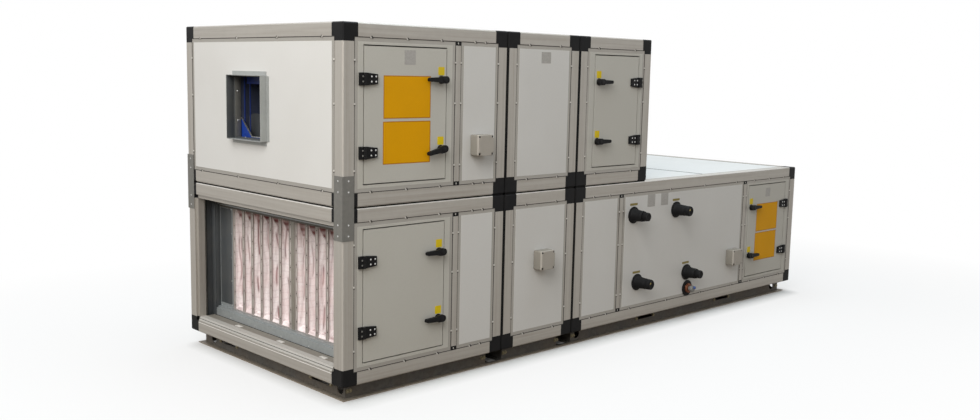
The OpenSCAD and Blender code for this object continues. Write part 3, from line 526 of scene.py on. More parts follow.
# Near-white aluminium strips that paint the highlight along the top edges of the profiles and along
# the sill's lip.
PAINTED_HIGHLIGHT = Finish(
    "aluminium_painted_highlight", "#f0eeea", "#e6e4df", Pattern.SPRAYED, 4.0, 0.02, 0.4, metal=0.3,
    soil_share=0.1,
)
# Copper collar on the drain, dulled to orange-brown.
COPPER = Finish(
    "drawn_copper", "#834e36", "#6c402b", Pattern.SPRAYED, 6.0, 0.05, 0.42,
    metal=0.6, soil="#6d4a35", soil_share=0.35, soil_size=25.0,
)
# Drain pipe, moulded in grey PVC.
PVC = Finish(
    "moulded_pvc", "#7d7e7c", "#747573", Pattern.MOULDED, 3.0, 0.05, 0.45, soil_share=0.15,
)
# Blue moulded protection cap.
CAP = Finish(
    "moulded_polyethylene", "#1f4f9c", "#1a458b", Pattern.MOULDED, 3.0, 0.05, 0.4,
)
# Bright zinc-plated screws and rivets.
PLATED = Finish(
    "plated_steel", "#d8d8d6", "#c4c4c2", Pattern.SPRAYED, 2.0, 0.01, 0.3, metal=0.9,
    soil_share=0.05,
)
# Small clips of pale nickel-plated steel.
LIGHT_CLIP = Finish(
    "nickel_plated_steel", "#d0cdc7", "#c4c1bb", Pattern.SPRAYED, 2.0, 0.01, 0.4,
    soil_share=0.05,
)
# Sheet steel of the fan's inner parts under a thin black paint. The same black on the base's
# joining plates paints the shade under the joints.
DARK_STEEL = Finish(
    "black_painted_steel", "#3c3e40", "#323436", Pattern.SPRAYED, 5.0, 0.05, 0.5,
    soil="#55585a", soil_share=0.3, soil_size=90.0, ior=1.35,
)
# Pocket fleece: white fibre with a pink cast. The fibres are far too fine to show and are
# drawn as 5 mm tufts.
# Its folds, thread lines and top corners get painted shade in dark red from the mesh.
FLEECE = Finish(
    "spun_polyester_fleece", "#f6eeed", "#eddfde", Pattern.SPUN, 5.0, 0.25, 0.9,
    soil="#e2bfbd", soil_share=0.45, soil_size=120.0, sheen=0.35,
)
# Filter header strips, moulded in grey plastic.
HEADER = Finish(
    "moulded_header_plastic", "#b3a9a4", "#a59b96", Pattern.MOULDED, 3.0, 0.06, 0.5,
    soil_share=0.2, soil_size=60.0,
)
# Self-adhesive vinyl film in plain orange, yellow, dull gold and grey: even, half gloss.
ORANGE = Finish(
    "printed_orange_film", "#e9a808", "#e2a106", Pattern.PRINTED, 9.0, 0.01, 0.38,
    soil="#d09610", soil_share=0.2, soil_size=160.0, ior=1.2,
)
ORANGE_EDGE = Finish(
    "printed_orange_film_edge", "#bd7d0b", "#b57709", Pattern.PRINTED, 9.0, 0.01, 0.38,
    ior=1.3,
)
YELLOW = Finish(
    "printed_yellow_film", "#e8cb20", "#dec11b", Pattern.PRINTED, 5.0, 0.01, 0.4, ior=1.3,
)
OLIVE = Finish(
    "printed_olive_film", "#85752c", "#7a6b28", Pattern.PRINTED, 4.0, 0.01, 0.45,
)
PLATE_GREY = Finish(
    "printed_grey_film", "#bdbab6", "#979490", Pattern.PRINTED, 7.0, 0.01, 0.42,
)
WHITE_CLIP = Finish(
    "moulded_white_clip", "#d9d6d1", "#d0cdc8", Pattern.MOULDED, 3.0, 0.03, 0.4,
)


@dataclass(frozen=True)
class CasingPlan:
    """Sizes of the casing in millimetres, as the solids have them."""

    casing_w: float = 1480.0
    section_h: float = 859.0
    end_len: float = 1060.0
    middle_len: float = 570.0
    coil_len: float = 2475.0
    upper_end_len: float = 660.0
    column_gap: float = 6.0
    row_gap: float = 7.0
    base_h: float = 78.0
    leg: float = 87.0
    panel_recess: float = 1.0
    mullion_half: float = 39.0
    end_mullion_x: float = 711.0
    coil_mullion_x: float = 425.0
    coil_mullion_far_x: float = 1799.0

    @property
    def middle_x(self) -> float:
        """Left side of the middle sections."""
        return self.end_len + self.column_gap

    @property
    def coil_x(self) -> float:
        """Left side of the coil section."""
        return self.middle_x + self.middle_len + self.column_gap

    @property
    def length(self) -> float:
        """Length of the whole casing."""
        return self.coil_x + self.coil_len

    @property
    def upper_z(self) -> float:
        """Bottom of the upper tier above the bottom of the lower one."""
        return self.section_h + self.row_gap


PLAN = CasingPlan()


@dataclass(frozen=True)
class Face:
    """One flat face, with a corner, two directions along it and one out of it."""

    corner: Vector
    along: Vector
    up: Vector
    out: Vector

    def at(self, u: float, v: float, height: float = 0.0) -> Vector:
        """Gives the place u along, v up and height out of the face, from millimetres."""
        return self.corner + (self.along * u + self.up * v + self.out * height) * MM

    def frame(self, u: float = 0.0, v: float = 0.0, height: float = 0.0) -> Matrix:
        """Gives the matrix that stands a piece at a place of the face, with Z out of it."""
        turn = Matrix((self.along, self.up, self.out)).transposed().to_4x4()
        return Matrix.Translation(self.at(u, v, height)) @ turn

    def moved(self, u: float, v: float = 0.0) -> "Face":
        """Gives the same face with its corner at another place."""
        return Face(self.at(u, v), self.along, self.up, self.out)


class Datum:
    """Turns casing millimetres into the row frame; zero is the lower front left corner."""

    def __init__(self) -> None:
        """Reads the casing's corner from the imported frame."""
        self.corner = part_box("frame_inlet")[0]

    def at(self, x: float = 0.0, y: float = 0.0, z: float = 0.0) -> Vector:
        """Gives a place in metres from casing millimetres."""
        return self.corner + Vector((x, y, z)) * MM

    def place(self, x: float = 0.0, y: float = 0.0, z: float = 0.0) -> Matrix:
        """Gives the matrix that moves a piece from zero to a place of the casing."""
        return Matrix.Translation(self.at(x, y, z))

    def service(self, z: float = 0.0, y: float = 0.0) -> Face:
        """Gives the service side from height z, or the same face set back to y."""
        return Face(self.at(0, y, z), X_AXIS, Z_AXIS, -Y_AXIS)

    def back(self, z: float = 0.0, y: float = PLAN.casing_w) -> Face:
        """Gives the back from height z, with u still along X."""
        return Face(self.at(0, y, z), X_AXIS, Z_AXIS, Y_AXIS)

    def left(self, z: float = 0.0, x: float = 0.0) -> Face:
        """Gives the left end, or the same face at another x, with u along Y."""
        return Face(self.at(x, 0, z), Y_AXIS, Z_AXIS, -X_AXIS)

    def right(self, x: float, z: float = 0.0) -> Face:
        """Gives an end that faces right at place x, with u along Y."""
        return Face(self.at(x, 0, z), Y_AXIS, Z_AXIS, X_AXIS)


@dataclass
class Shape:
    """Collects vertices and faces, and turns them into one object."""

    points: list[Vector] = field(default_factory=list)
    faces: list[tuple[int, ...]] = field(default_factory=list)
    values: list[float] = field(default_factory=list)

    def add(self, points: Iterable[Vector], faces: Iterable[Sequence[int]]) -> "Shape":
        """Adds points and faces.

        Args:
            points: The points in metres.
            faces: Numbers of points, counted from the first of these.

        Returns:
            The shape itself.
        """
        start = len(self.points)
        self.points.extend(points)
        self.faces.extend(tuple(start + i for i in face) for face in faces)
        return self

    def block(
        self, low: Point, high: Point, place: Matrix, edge: float = 0.0, steps: int = 2
    ) -> None:
        """Adds a block with rounded edges.

        Args:
            low: Low corner in millimetres.
            high: High corner in millimetres.
            place: Matrix from metres in the block's own frame to the row frame.
            edge: Radius of the edges in millimetres.
            steps: Number of facets across an edge.
        """
        mesh = bmesh.new()
        bmesh.ops.create_cube(mesh, size=1.0)
        size = Vector(high) - Vector(low)
        middle = (Vector(high) + Vector(low)) / 2
        for vertex in mesh.verts:
            vertex.co = Vector((middle[i] + vertex.co[i] * size[i]) * MM for i in range(3))
        if edge:
            bmesh.ops.bevel(
                mesh, geom=list(mesh.edges), offset=edge * MM, segments=steps, profile=0.5,
                affect="EDGES",
            )
        mesh.verts.index_update()
        faces = [[v.index for v in f.verts] for f in mesh.faces]
        self.add([place @ v.co for v in mesh.verts], faces)
        mesh.free()

    def blocks(self, place: Matrix, *rows: Sequence[Point | float]) -> "Shape":
        """Adds several blocks.

        Args:
            place: Matrix from metres in the blocks' own frame to the row frame.
            rows: For each block its low corner, high corner, and edge radius if it has one.

        Returns:
            The shape itself.
        """
        for row in rows:
            self.block(*row[:2], place, *row[2:])
        return self

    def lathe(self, profile: Sequence[Span], place: Matrix, sides: int = 32) -> "Shape":
        """Turns a profile round Z.

        Args:
            profile: Radius and height pairs in millimetres.
            place: Matrix from metres in the piece's own frame to the row frame.
            sides: Number of facets round it.

        Returns:
            The shape itself.
        """
        count = len(profile)
        ring = [math.tau * k / sides for k in range(sides)]
        points = [
            place @ (Vector((r * math.cos(a), r * math.sin(a), h)) * MM)
            for a in ring
            for r, h in profile
        ]
        faces = []
        for k in range(sides):
            here, after = k * count, (k + 1) % sides * count
            for i in range(count - 1):
                faces.append((here + i, after + i, after + i + 1, here + i + 1))
        faces.append([k * count for k in reversed(range(sides))])
        faces.append([k * count + count - 1 for k in range(sides)])
        return self.add(points, faces)

    def dome(self, place: Matrix, radius: float, height: float, sides: int = 10) -> None:
        """Adds a low round head that stands on a face."""
        rise = ((1.0, -0.2), (1.0, 0.35), (0.82, 0.75), (0.45, 1.0))
        self.lathe([(radius * r, height * h) for r, h in rise], place, sides)

    def plate(self, face: Face, box: Box, depth: Span, corner: float) -> "Shape":
        """Adds a flat plate with round corners.

        Args:
            face: The face that it lies on.
            box: Low u, low v, high u and high v in millimetres.
            depth: Its back and its front over the face in millimetres.
            corner: Radius of its corners in millimetres.

        Returns:
            The shape itself.
        """
        steps, outline = 5, []
        left, right = box[0] + corner, box[2] - corner
        low, high = box[1] + corner, box[3] - corner
        centres = ((right, high), (left, high), (left, low), (right, low))
        for quarter, (u, v) in enumerate(centres):
            for k in range(steps + 1):
                angle = math.pi / 2 * (quarter + k / steps)
                outline.append((u + corner * math.cos(angle), v + corner * math.sin(angle)))
        return self.prism(face, outline, depth)

    def prism(
        self, face: Face, outline: Sequence[Span], depth: Span, u: float = 0.0, v: float = 0.0
    ) -> "Shape":
        """Adds a flat piece.

        Args:
            face: The face that it lies on.
            outline: Its corners in millimetres.
            depth: Its back and its front over the face in millimetres.
            u: Place of the outline's zero along the face.
            v: Place of the outline's zero up the face.

        Returns:
            The shape itself.
        """
        count = len(outline)
        points = [face.at(u + du, v + dv, height) for height in depth for du, dv in outline]
        sides = [
            (i, (i + 1) % count, count + (i + 1) % count, count + i) for i in range(count)
        ]
        front = tuple(range(count, 2 * count))
        return self.add(points, [*sides, front, tuple(reversed(range(count)))])

    def build(
        self, name: str, finish: Finish, slot: str, body: str = CASING, smooth: float = 35.0
    ) -> bpy.types.Object:
        """Makes the object, dresses it and lets it ride on its body.

        Args:
            name: Name of the piece.
            finish: Its finish.
            slot: A material slot name; not used.
            body: The body that it moves with.
            smooth: Largest angle between faces that are shaded as one, in degrees.

        Returns:
            The new object.
        """
        mesh = bpy.data.meshes.new(name)
        mesh.from_pydata([tuple(p) for p in self.points], [], self.faces)
        work = bmesh.new()
        work.from_mesh(mesh)
        bmesh.ops.recalc_face_normals(work, faces=list(work.faces))
        work.to_mesh(mesh)
        work.free()
        # The values are painted fold shade, one per point, read by the fleece.
        if self.values:
            layer = mesh.attributes.new("painted_fold_shade", "FLOAT", "POINT")
            layer.data.foreach_set("value", self.values)
        mesh.shade_smooth()
        mesh.set_sharp_from_angle(angle=math.radians(smooth))
        mesh.materials.append(finish.material())
        made = bpy.data.objects.new(name, mesh)
        bpy.context.scene.collection.objects.link(made)
        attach(made, body)
        LOG.info("piece %s: %d faces on %s", name, len(mesh.polygons), body)
        return made


@dataclass(frozen=True)
class CasingDress:
    """Gives every solid of the frame its finish."""

    finishes: tuple[tuple[str, Finish], ...] = (
        ("corner_blocks", NYLON),
        ("hinge", NYLON),
        ("handle", NYLON),
        ("lever", NYLON),
        ("filter_frame", RAIL_ZINC),
        ("frame_", PROFILE),
        ("uprights", PROFILE),
        ("panels_", PANEL),
        ("door", DOOR),
        ("beads_", BEAD),
        ("section_gaskets", FOAM),
        ("base_", BASE_ZINC),
        ("splice_plates", ZINC),
        ("outlet_collar", COLLAR_ZINC),
        ("outlet_duct", DUCT),
        # The fan's inside gets the shaded copy of the enamel: painted shade.
        ("fan_", SHADED_ENAMEL),
        ("junction_boxes", BOX_ABS),
        ("pipe_boots", RUBBER),
        ("pipe_stubs", PIPE),
        ("drain_stub", PVC),
        ("_bag_filter", FLEECE),
    )

    def dress(self, nodes: dict[str, bpy.types.Object]) -> None:
        """Puts on each node the first finish whose key stands in its name.

        Args:
            nodes: The frame's nodes by name.
        """
        for name, node in nodes.items():
            finish = next(finish for key, finish in self.finishes if key in name)
            node.data.materials.clear()
            node.data.materials.append(finish.material())
            LOG.info("node %s: %s", name, finish.name)


@dataclass
class Dressing:
    """Something that is built round the solids, from the casing's datum."""

    datum: Datum

    def build(self) -> None:
        """Builds all of it."""
        raise NotImplementedError

    def long_sides(self, z: float = 0.0) -> tuple[Face, Face]:
        """Gives the service side and the back from height z."""
        return self.datum.service(z), self.datum.back(z)


@dataclass
class BeadClips(Dressing):
    """Dark seals in the grooves beside the beads, the clips that cross them, and a dark tick by
    each clip that paints its shadow.
    """

    groove: float = 20.0
    groove_w: float = 3.9
    seal_depth: Span = (-4.5, -1.1)
    tab_depth: Span = (-1.0, 2.4)
    shadow_tick_depth: Span = (-1.1, 1.2)
    cap_depth: Span = (0.2, 1.2)
    tab: tuple[Span, ...] = ((-8.0, 5.0), (-3.0, -4.5), (3.5, -4.5), (-1.5, 5.0))
    # The slot outline is a dark tick of painted shadow beside each clip.
    slot: tuple[Span, ...] = ((-1.0, 7.0), (5.0, -5.0), (13.0, -5.0), (7.0, 7.0))
    cap: tuple[Span, ...] = ((-5.0, -4.0), (0.0, -4.0), (0.0, 4.0), (-5.0, 4.0))
    end_in: float = 75.0
    longest: float = 390.0
    upright_v: tuple[float, ...] = (172.0, 484.0, 687.0)
    cap_v: float = 76.0
    seals: Shape = field(default_factory=Shape)
    clips: Shape = field(default_factory=Shape)

    def row(self, start: float, end: float) -> list[float]:
        """Spreads clips evenly along a bay.

        Args:
            start: Start of the bay.
            end: End of the bay.

        Returns:
            The places of the clips.
        """
        first, last = start + self.end_in, end - self.end_in
        steps = max(1, math.ceil((last - first) / self.longest))
        return [first + (last - first) * k / steps for k in range(steps + 1)]

    def ring(self, face: Face, box: Box) -> None:
        """Lays four seal strips along the grooves round one bay.

        Args:
            face: The face that they lie on.
            box: Low u, low v, high u and high v of the grooves.
        """
        u0, v0, u1, v1 = box
        half = self.groove_w / 2
        for low_u, low_v, high_u, high_v in (
            (u0, v0, u1, v0), (u0, v1, u1, v1), (u0, v0, u0, v1), (u1, v0, u1, v1),
        ):
            a, b, c, d = low_u - half, low_v - half, high_u + half, high_v + half
            self.seals.prism(face, [(a, b), (c, b), (c, d), (a, d)], self.seal_depth)

    def slanted(self, face: Face, u: float, v: float) -> None:
        """Adds a slanted clip over a level groove, with a dark tick beside it that paints the
        clip's shadow.
        """
        self.clips.prism(face, self.tab, self.tab_depth, u, v)
        self.seals.prism(face, self.slot, self.shadow_tick_depth, u, v)

    def crossing(self, face: Face, u: float, v: float) -> None:
        """Adds a square clip over an upright groove, with a dark tick under it that paints the
        clip's shadow.
        """
        self.clips.plate(face, (u - 4, v - 4, u + 4, v + 4), self.tab_depth, 1.5)
        self.seals.plate(face, (u - 3.5, v - 10, u + 3.5, v - 4.5), self.shadow_tick_depth, 1.5)

    def on_face(self, face: Face, length: float, uprights: Sequence[float] = ()) -> None:
        """Puts the seals and clips round each bay of one face.

        Args:
            face: The face with its zero at the lower corner of the section.
            length: Length of the face.
            uprights: Places of the uprights that part it.
        """
        low = PLAN.leg - self.groove
        high = PLAN.section_h - low
        half = PLAN.mullion_half
        starts = [PLAN.leg, *(u + half for u in uprights)]
        ends = [*(u - half for u in uprights), length - PLAN.leg]
        for start, end in zip(starts, ends):
            left, right = start - self.groove, end + self.groove
            self.ring(face, (left, low, right, high))
            for u in self.row(start, end):
                self.slanted(face, u, low)
                self.slanted(face, u, high)
            for v in self.upright_v:
                self.crossing(face, left, v)
                self.crossing(face, right, v)
        for u in uprights:
            for v in (self.cap_v, PLAN.section_h - self.cap_v):
                self.clips.prism(face, self.cap, self.cap_depth, u, v)

    def build(self) -> None:
        """Builds the seals and the clips of all faces."""
        coil = (PLAN.coil_mullion_x, PLAN.coil_mullion_far_x)
        for z, last_len, last_uprights in (
            (0.0, PLAN.coil_len, coil), (PLAN.upper_z, PLAN.upper_end_len, ()),
        ):
            for x, length, uprights in (
                (0.0, PLAN.end_len, (PLAN.end_mullion_x,)),
                (PLAN.middle_x, PLAN.middle_len, ()),
                (PLAN.coil_x, last_len, last_uprights),
            ):
                front, back = self.long_sides(z)
                self.on_face(front.moved(x), length, uprights)
                self.on_face(back.moved(x), length)
            self.on_face(self.datum.right(PLAN.coil_x + last_len, z), PLAN.casing_w)
        self.on_face(self.datum.left(PLAN.upper_z), PLAN.casing_w)
        # The seals' piece also holds the dark ticks that paint the clips' shadows.
        self.seals.build("groove_seals_and_shadow_ticks", SEAL, "foam")
        self.clips.build("bead_clips", LIGHT_CLIP, "galvanised")


@dataclass
class TierEdges(Dressing):
    """Painted highlights: bright lines along the top edge of the lower tier, where the profile's
    edge catches the light.
    """

    height: float = 4.0
    under: float = 0.2
    depth: Span = (-6.0, -0.6)

    def build(self) -> None:
        """Builds the painted highlights at the left end and along both sides."""
        shape, top = Shape(), PLAN.section_h - self.under
        runs = (
            (0.0, PLAN.end_len), (PLAN.middle_x, PLAN.coil_x - PLAN.column_gap),
            (PLAN.coil_x, PLAN.length),
        )
        faces = [(self.datum.left(), 0.0, PLAN.casing_w)]
        faces += [(face, *run) for face in self.long_sides() for run in runs]
        for face, start, end in faces:
            box = (start + PLAN.leg, top - self.height, end - PLAN.leg, top)
            shape.plate(face, box, self.depth, 0.4)
        # Near-white strips: painted highlight along the lower tier's top edge.
        shape.build("tier_edge_highlights", PAINTED_HIGHLIGHT, "aluminium_profile")


@dataclass
class SectionJoints(Dressing):
    """Foam between the sections, wider than the joint so that its black also paints the shade on
    the chamfers beside it; black plates that join the base frames and paint the shade under the
    joints; and a roof seam.
    """

    side: float = 7.0
    depth: Span = (-6.0, 0.4)
    flange_in: float = 29.0
    flange_w: float = 35.0
    overlap: float = 6.0
    plate_t: float = 4.2
    bedded: float = 0.2
    roof_seam_in: float = 1087.0
    seam: Span = (-2.0, 5.0)
    seam_depth: Span = (-3.0, 0.4)

    def build(self) -> None:
        """Builds the foam strips, the joining plates and the line across the roof."""
        foam, plates, side = Shape(), Shape(), self.side
        place = self.datum.place(z=-PLAN.base_h)
        tiers = ((0.0, PLAN.section_h), (PLAN.upper_z, PLAN.upper_z + PLAN.section_h))
        inner, outer = self.flange_in - self.bedded, self.flange_in + self.flange_w
        reach = self.flange_in + self.overlap
        for start in (PLAN.end_len, PLAN.coil_x - PLAN.column_gap):
            end = start + PLAN.column_gap
            for face in self.long_sides():
                for low, high in tiers:
                    box = (start - side, low + PLAN.leg, end + side, high - PLAN.leg)
                    foam.plate(face, box, self.depth, 0.4)
            for near, far in ((inner, outer), (PLAN.casing_w - outer, PLAN.casing_w - inner)):
                low, high = (start - reach, near, self.bedded), (end + reach, far, self.plate_t)
                plates.block(low, high, place, 0.4)
        over = self.datum.place(PLAN.length - self.roof_seam_in, 0, PLAN.section_h)
        (left, right), (under, top) = self.seam, self.seam_depth
        line = Shape().blocks(
            over, ((left, PLAN.leg, under), (right, PLAN.casing_w - PLAN.leg, top), 0.3)
        )
        line.build("roof_seam_line", SEAL, "foam")
        # Black foam: real foam in the joint, and painted shade on the chamfers beside it.
        foam.build("joint_foam_and_shade", FOAM, "foam")
        # Black on the joining plates: painted shade under the joints.
        plates.build("base_joint_plates_and_shade", DARK_STEEL, "galvanised")


@dataclass
class SpliceRivets(Dressing):
    """Pop rivets in the angle plates that tie the two tiers together."""

    line: float = 33.0
    pitch: float = 52.0
    rows: int = 6
    head: Span = (4.6, 1.6)
    plate_t: float = 2.5

    def build(self) -> None:
        """Builds the rivets of the front and back plates as one piece."""
        shape, (front, back), left = Shape(), self.long_sides(), self.datum.left()
        middle = PLAN.upper_z - PLAN.row_gap / 2
        lines = (
            (front, self.line), (back, self.line), (left, self.line),
            (left, PLAN.casing_w - self.line),
        )
        for k in (0, 1, self.rows - 2, self.rows - 1):
            v = middle + (k - (self.rows - 1) / 2) * self.pitch
            for face, u in lines:
                shape.dome(face.frame(u, v, self.plate_t), *self.head)
        shape.build("splice_plate_rivets", PLATED, "galvanised")


@dataclass(frozen=True)
class DoorPlace:
    """Where a door stands on the service side.

    Attributes:
        name: Short name used for its pieces.
        body: Body of its leaf.
        low_x: Left edge of the leaf.
        width: Width of the leaf.
        z: Bottom of its section.
        hinged_left: Whether the hinges are on the left.
        half_gap: From the leaf's edge to the hinge line.
        inset: From the leaf's edge to the handle spindles.
    """

    name: str
    body: str
    low_x: float
    width: float
    z: float
    hinged_left: bool
    half_gap: float = 3.0
    inset: float = 33.0

    @property
    def pin_x(self) -> float:
        """Place of the hinge line."""
        high = self.low_x + self.width + self.half_gap
        return self.low_x - self.half_gap if self.hinged_left else high

    @property
    def spindle_x(self) -> float:
        """Place of the handle spindles."""
        far = self.low_x + self.width - self.inset
        return far if self.hinged_left else self.low_x + self.inset

    @property
    def side(self) -> float:
        """Direction from the hinge line over the leaf."""
        return 1.0 if self.hinged_left else -1.0


DOORS = (
    DoorPlace("inlet_door", "inlet_door_body", 124.0, 507.0, 0.0, True),
    DoorPlace("coil_door", "coil_door_body", PLAN.coil_x + 1855.0, 487.0, 0.0, False),
    DoorPlace("fan_door", CASING, 124.0, 507.0, PLAN.upper_z, True),
    DoorPlace("upper_end_door", CASING, PLAN.coil_x + 137.0, 400.0, PLAN.upper_z, False),
)
HANDLE_HEIGHTS = (256.0, 601.0)


@dataclass
class DoorFittings(Dressing):
    """Screws of the hinges, and the caps and rings of the handles."""

    hinge_heights: Span = (255.0, 600.0)
    plate_front: float = 17.4
    screw: Span = (4.4, 1.4)
    screws_u: Span = (32.0, 58.0)
    screws_v: float = 12.0
    frame_screw_u: float = -18.0
    frame_front: float = 17.6
    lever_front: float = 30.5
    cap: tuple[Span, ...] = ((13.0, -0.5), (13.0, 0.8), (11.0, 1.8), (3.0, 2.4))
    ring: tuple[Span, ...] = ((16.2, -0.6), (21.0, -0.6), (21.0, 2.2), (19.4, 3.6), (16.2, 3.6))

    def build(self) -> None:
        """Builds the fittings of all doors."""
        for door in DOORS:
            self.hinges(door)
            self.handles(door)

    def hinges(self, door: DoorPlace) -> None:
        """Builds the bright screws of the leaf and the duller ones of the frame.

        Args:
            door: The door that they belong to.
        """
        bright, dull, face = Shape(), Shape(), self.datum.service(door.z)
        rows = [(bright, u, self.plate_front) for u in self.screws_u]
        rows.append((dull, self.frame_screw_u, self.frame_front))
        for v in self.hinge_heights:
            for dv in (-self.screws_v, self.screws_v):
                for shape, u, front in rows:
                    place = face.frame(door.pin_x + door.side * u, v + dv, front)
                    shape.dome(place, *self.screw)
        bright.build(f"{door.name}_hinge_screws", PLATED, "galvanised", door.body)
        dull.build(f"{door.name}_frame_screws", ZINC, "black_plastic")

    def handles(self, door: DoorPlace) -> None:
        """Builds a round cap on the head of each lever and a ring round each base.

        Args:
            door: The door that they belong to.
        """
        rings, face, x = Shape(), self.datum.service(door.z), door.spindle_x
        for v, which in zip(HANDLE_HEIGHTS, ("low", "high")):
            rings.lathe(self.ring, face.frame(x, v), 28)
            lever = f"{door.name}_lever_{which}".replace("door_", "") + "_body"
            body = CASING if door.body == CASING else lever
            cap = Shape().lathe(self.cap, face.frame(x, v, self.lever_front), 24)
            cap.build(f"{door.name}_lever_cap_{which}", NYLON, "black_plastic", body)
        rings.build(f"{door.name}_handle_rings", NYLON, "black_plastic", door.body)


@dataclass
class FilmPlates(Dressing):
    """Plain coloured film plates on the panels and doors."""

    depth: Span = (-0.4, 0.5)
    rim_depth: Span = (-0.4, 0.35)
    rim_w: float = 5.0
    corner: float = 3.0
    orange: tuple[tuple[str, Box], ...] = (
        ("fan_door_plate_upper", (236, 1279, 530, 1484)),
        ("fan_door_plate_lower", (234, 1060, 531, 1266)),
        ("coil_door_plate_upper", (3607, 420, 3888, 619)),
        ("coil_door_plate_lower", (3602, 208, 3884, 410)),
    )
    grey: tuple[tuple[str, Box], ...] = (
        ("fan_door_grey_plate", (362, 1537, 432, 1606)),
        ("upper_middle_grey_plate", (1323, 1564, 1398, 1625)),
        ("coil_grey_plate_left", (2326, 696, 2403, 772)),
        ("coil_grey_plate_right", (2465, 696, 2540, 775)),
        ("coil_door_grey_plate", (3716, 665, 3777, 727)),
    )
    tag: float = 41.0
    tag_rise: float = 22.0
    tag_corner: float = 4.0
    strip_w: float = 74.0
    strip_h: float = 14.0
    strip_corner: float = 2.0
    strips: tuple[Span, ...] = ((2189, 716), (2628, 714), (2240, 285), (2764, 286))

    def build(self) -> None:
        """Builds all plates, tags and strips."""
        for name, box in self.orange:
            self.one(name, box, ORANGE, self.rim_w)
        for name, box in self.grey:
            self.one(name, box, PLATE_GREY)
        for door in DOORS:
            self.tags(door)
        strips, half = Shape(), self.strip_w / 2
        face = self.datum.service(y=PLAN.panel_recess)
        for x, z in self.strips:
            box = (x - half, z, x + half, z + self.strip_h)
            strips.plate(face, box, self.depth, self.strip_corner)
        strips.build("pipe_tags", OLIVE, "panel_coat")

    def one(self, name: str, box: Box, finish: Finish, rim: float = 0.0) -> None:
        """Builds one plate, with a rim of a darker finish where it has one.

        Args:
            name: Name of the plate.
            box: Low x, low z, high x and high z.
            finish: Its finish.
            rim: Width of the rim.
        """
        u0, v0, u1, v1 = box
        face = self.datum.service(y=0.0 if "door" in name else PLAN.panel_recess)
        body = "coil_door_body" if name.startswith("coil_door") else CASING
        if rim:
            edge = Shape().plate(face, box, self.rim_depth, self.corner)
            edge.build(f"{name}_rim", ORANGE_EDGE, "panel_coat", body)
        inner = (u0 + rim, v0 + rim, u1 - rim, v1 - rim)
        plate = Shape().plate(face, inner, self.depth, self.corner)
        plate.build(name, finish, "panel_coat", body)

    def tags(self, door: DoorPlace) -> None:
        """Builds the small yellow tags above the handles.

        Args:
            door: The door that they belong to.
        """
        tags, face, half = Shape(), self.datum.service(door.z), self.tag / 2
        for v in HANDLE_HEIGHTS:
            u, low = door.spindle_x, v + self.tag_rise
            box = (u - half, low, u + half, low + self.tag)
            tags.plate(face, box, self.depth, self.tag_corner)
        tags.build(f"{door.name}_tags", YELLOW, "door_coat", door.body)


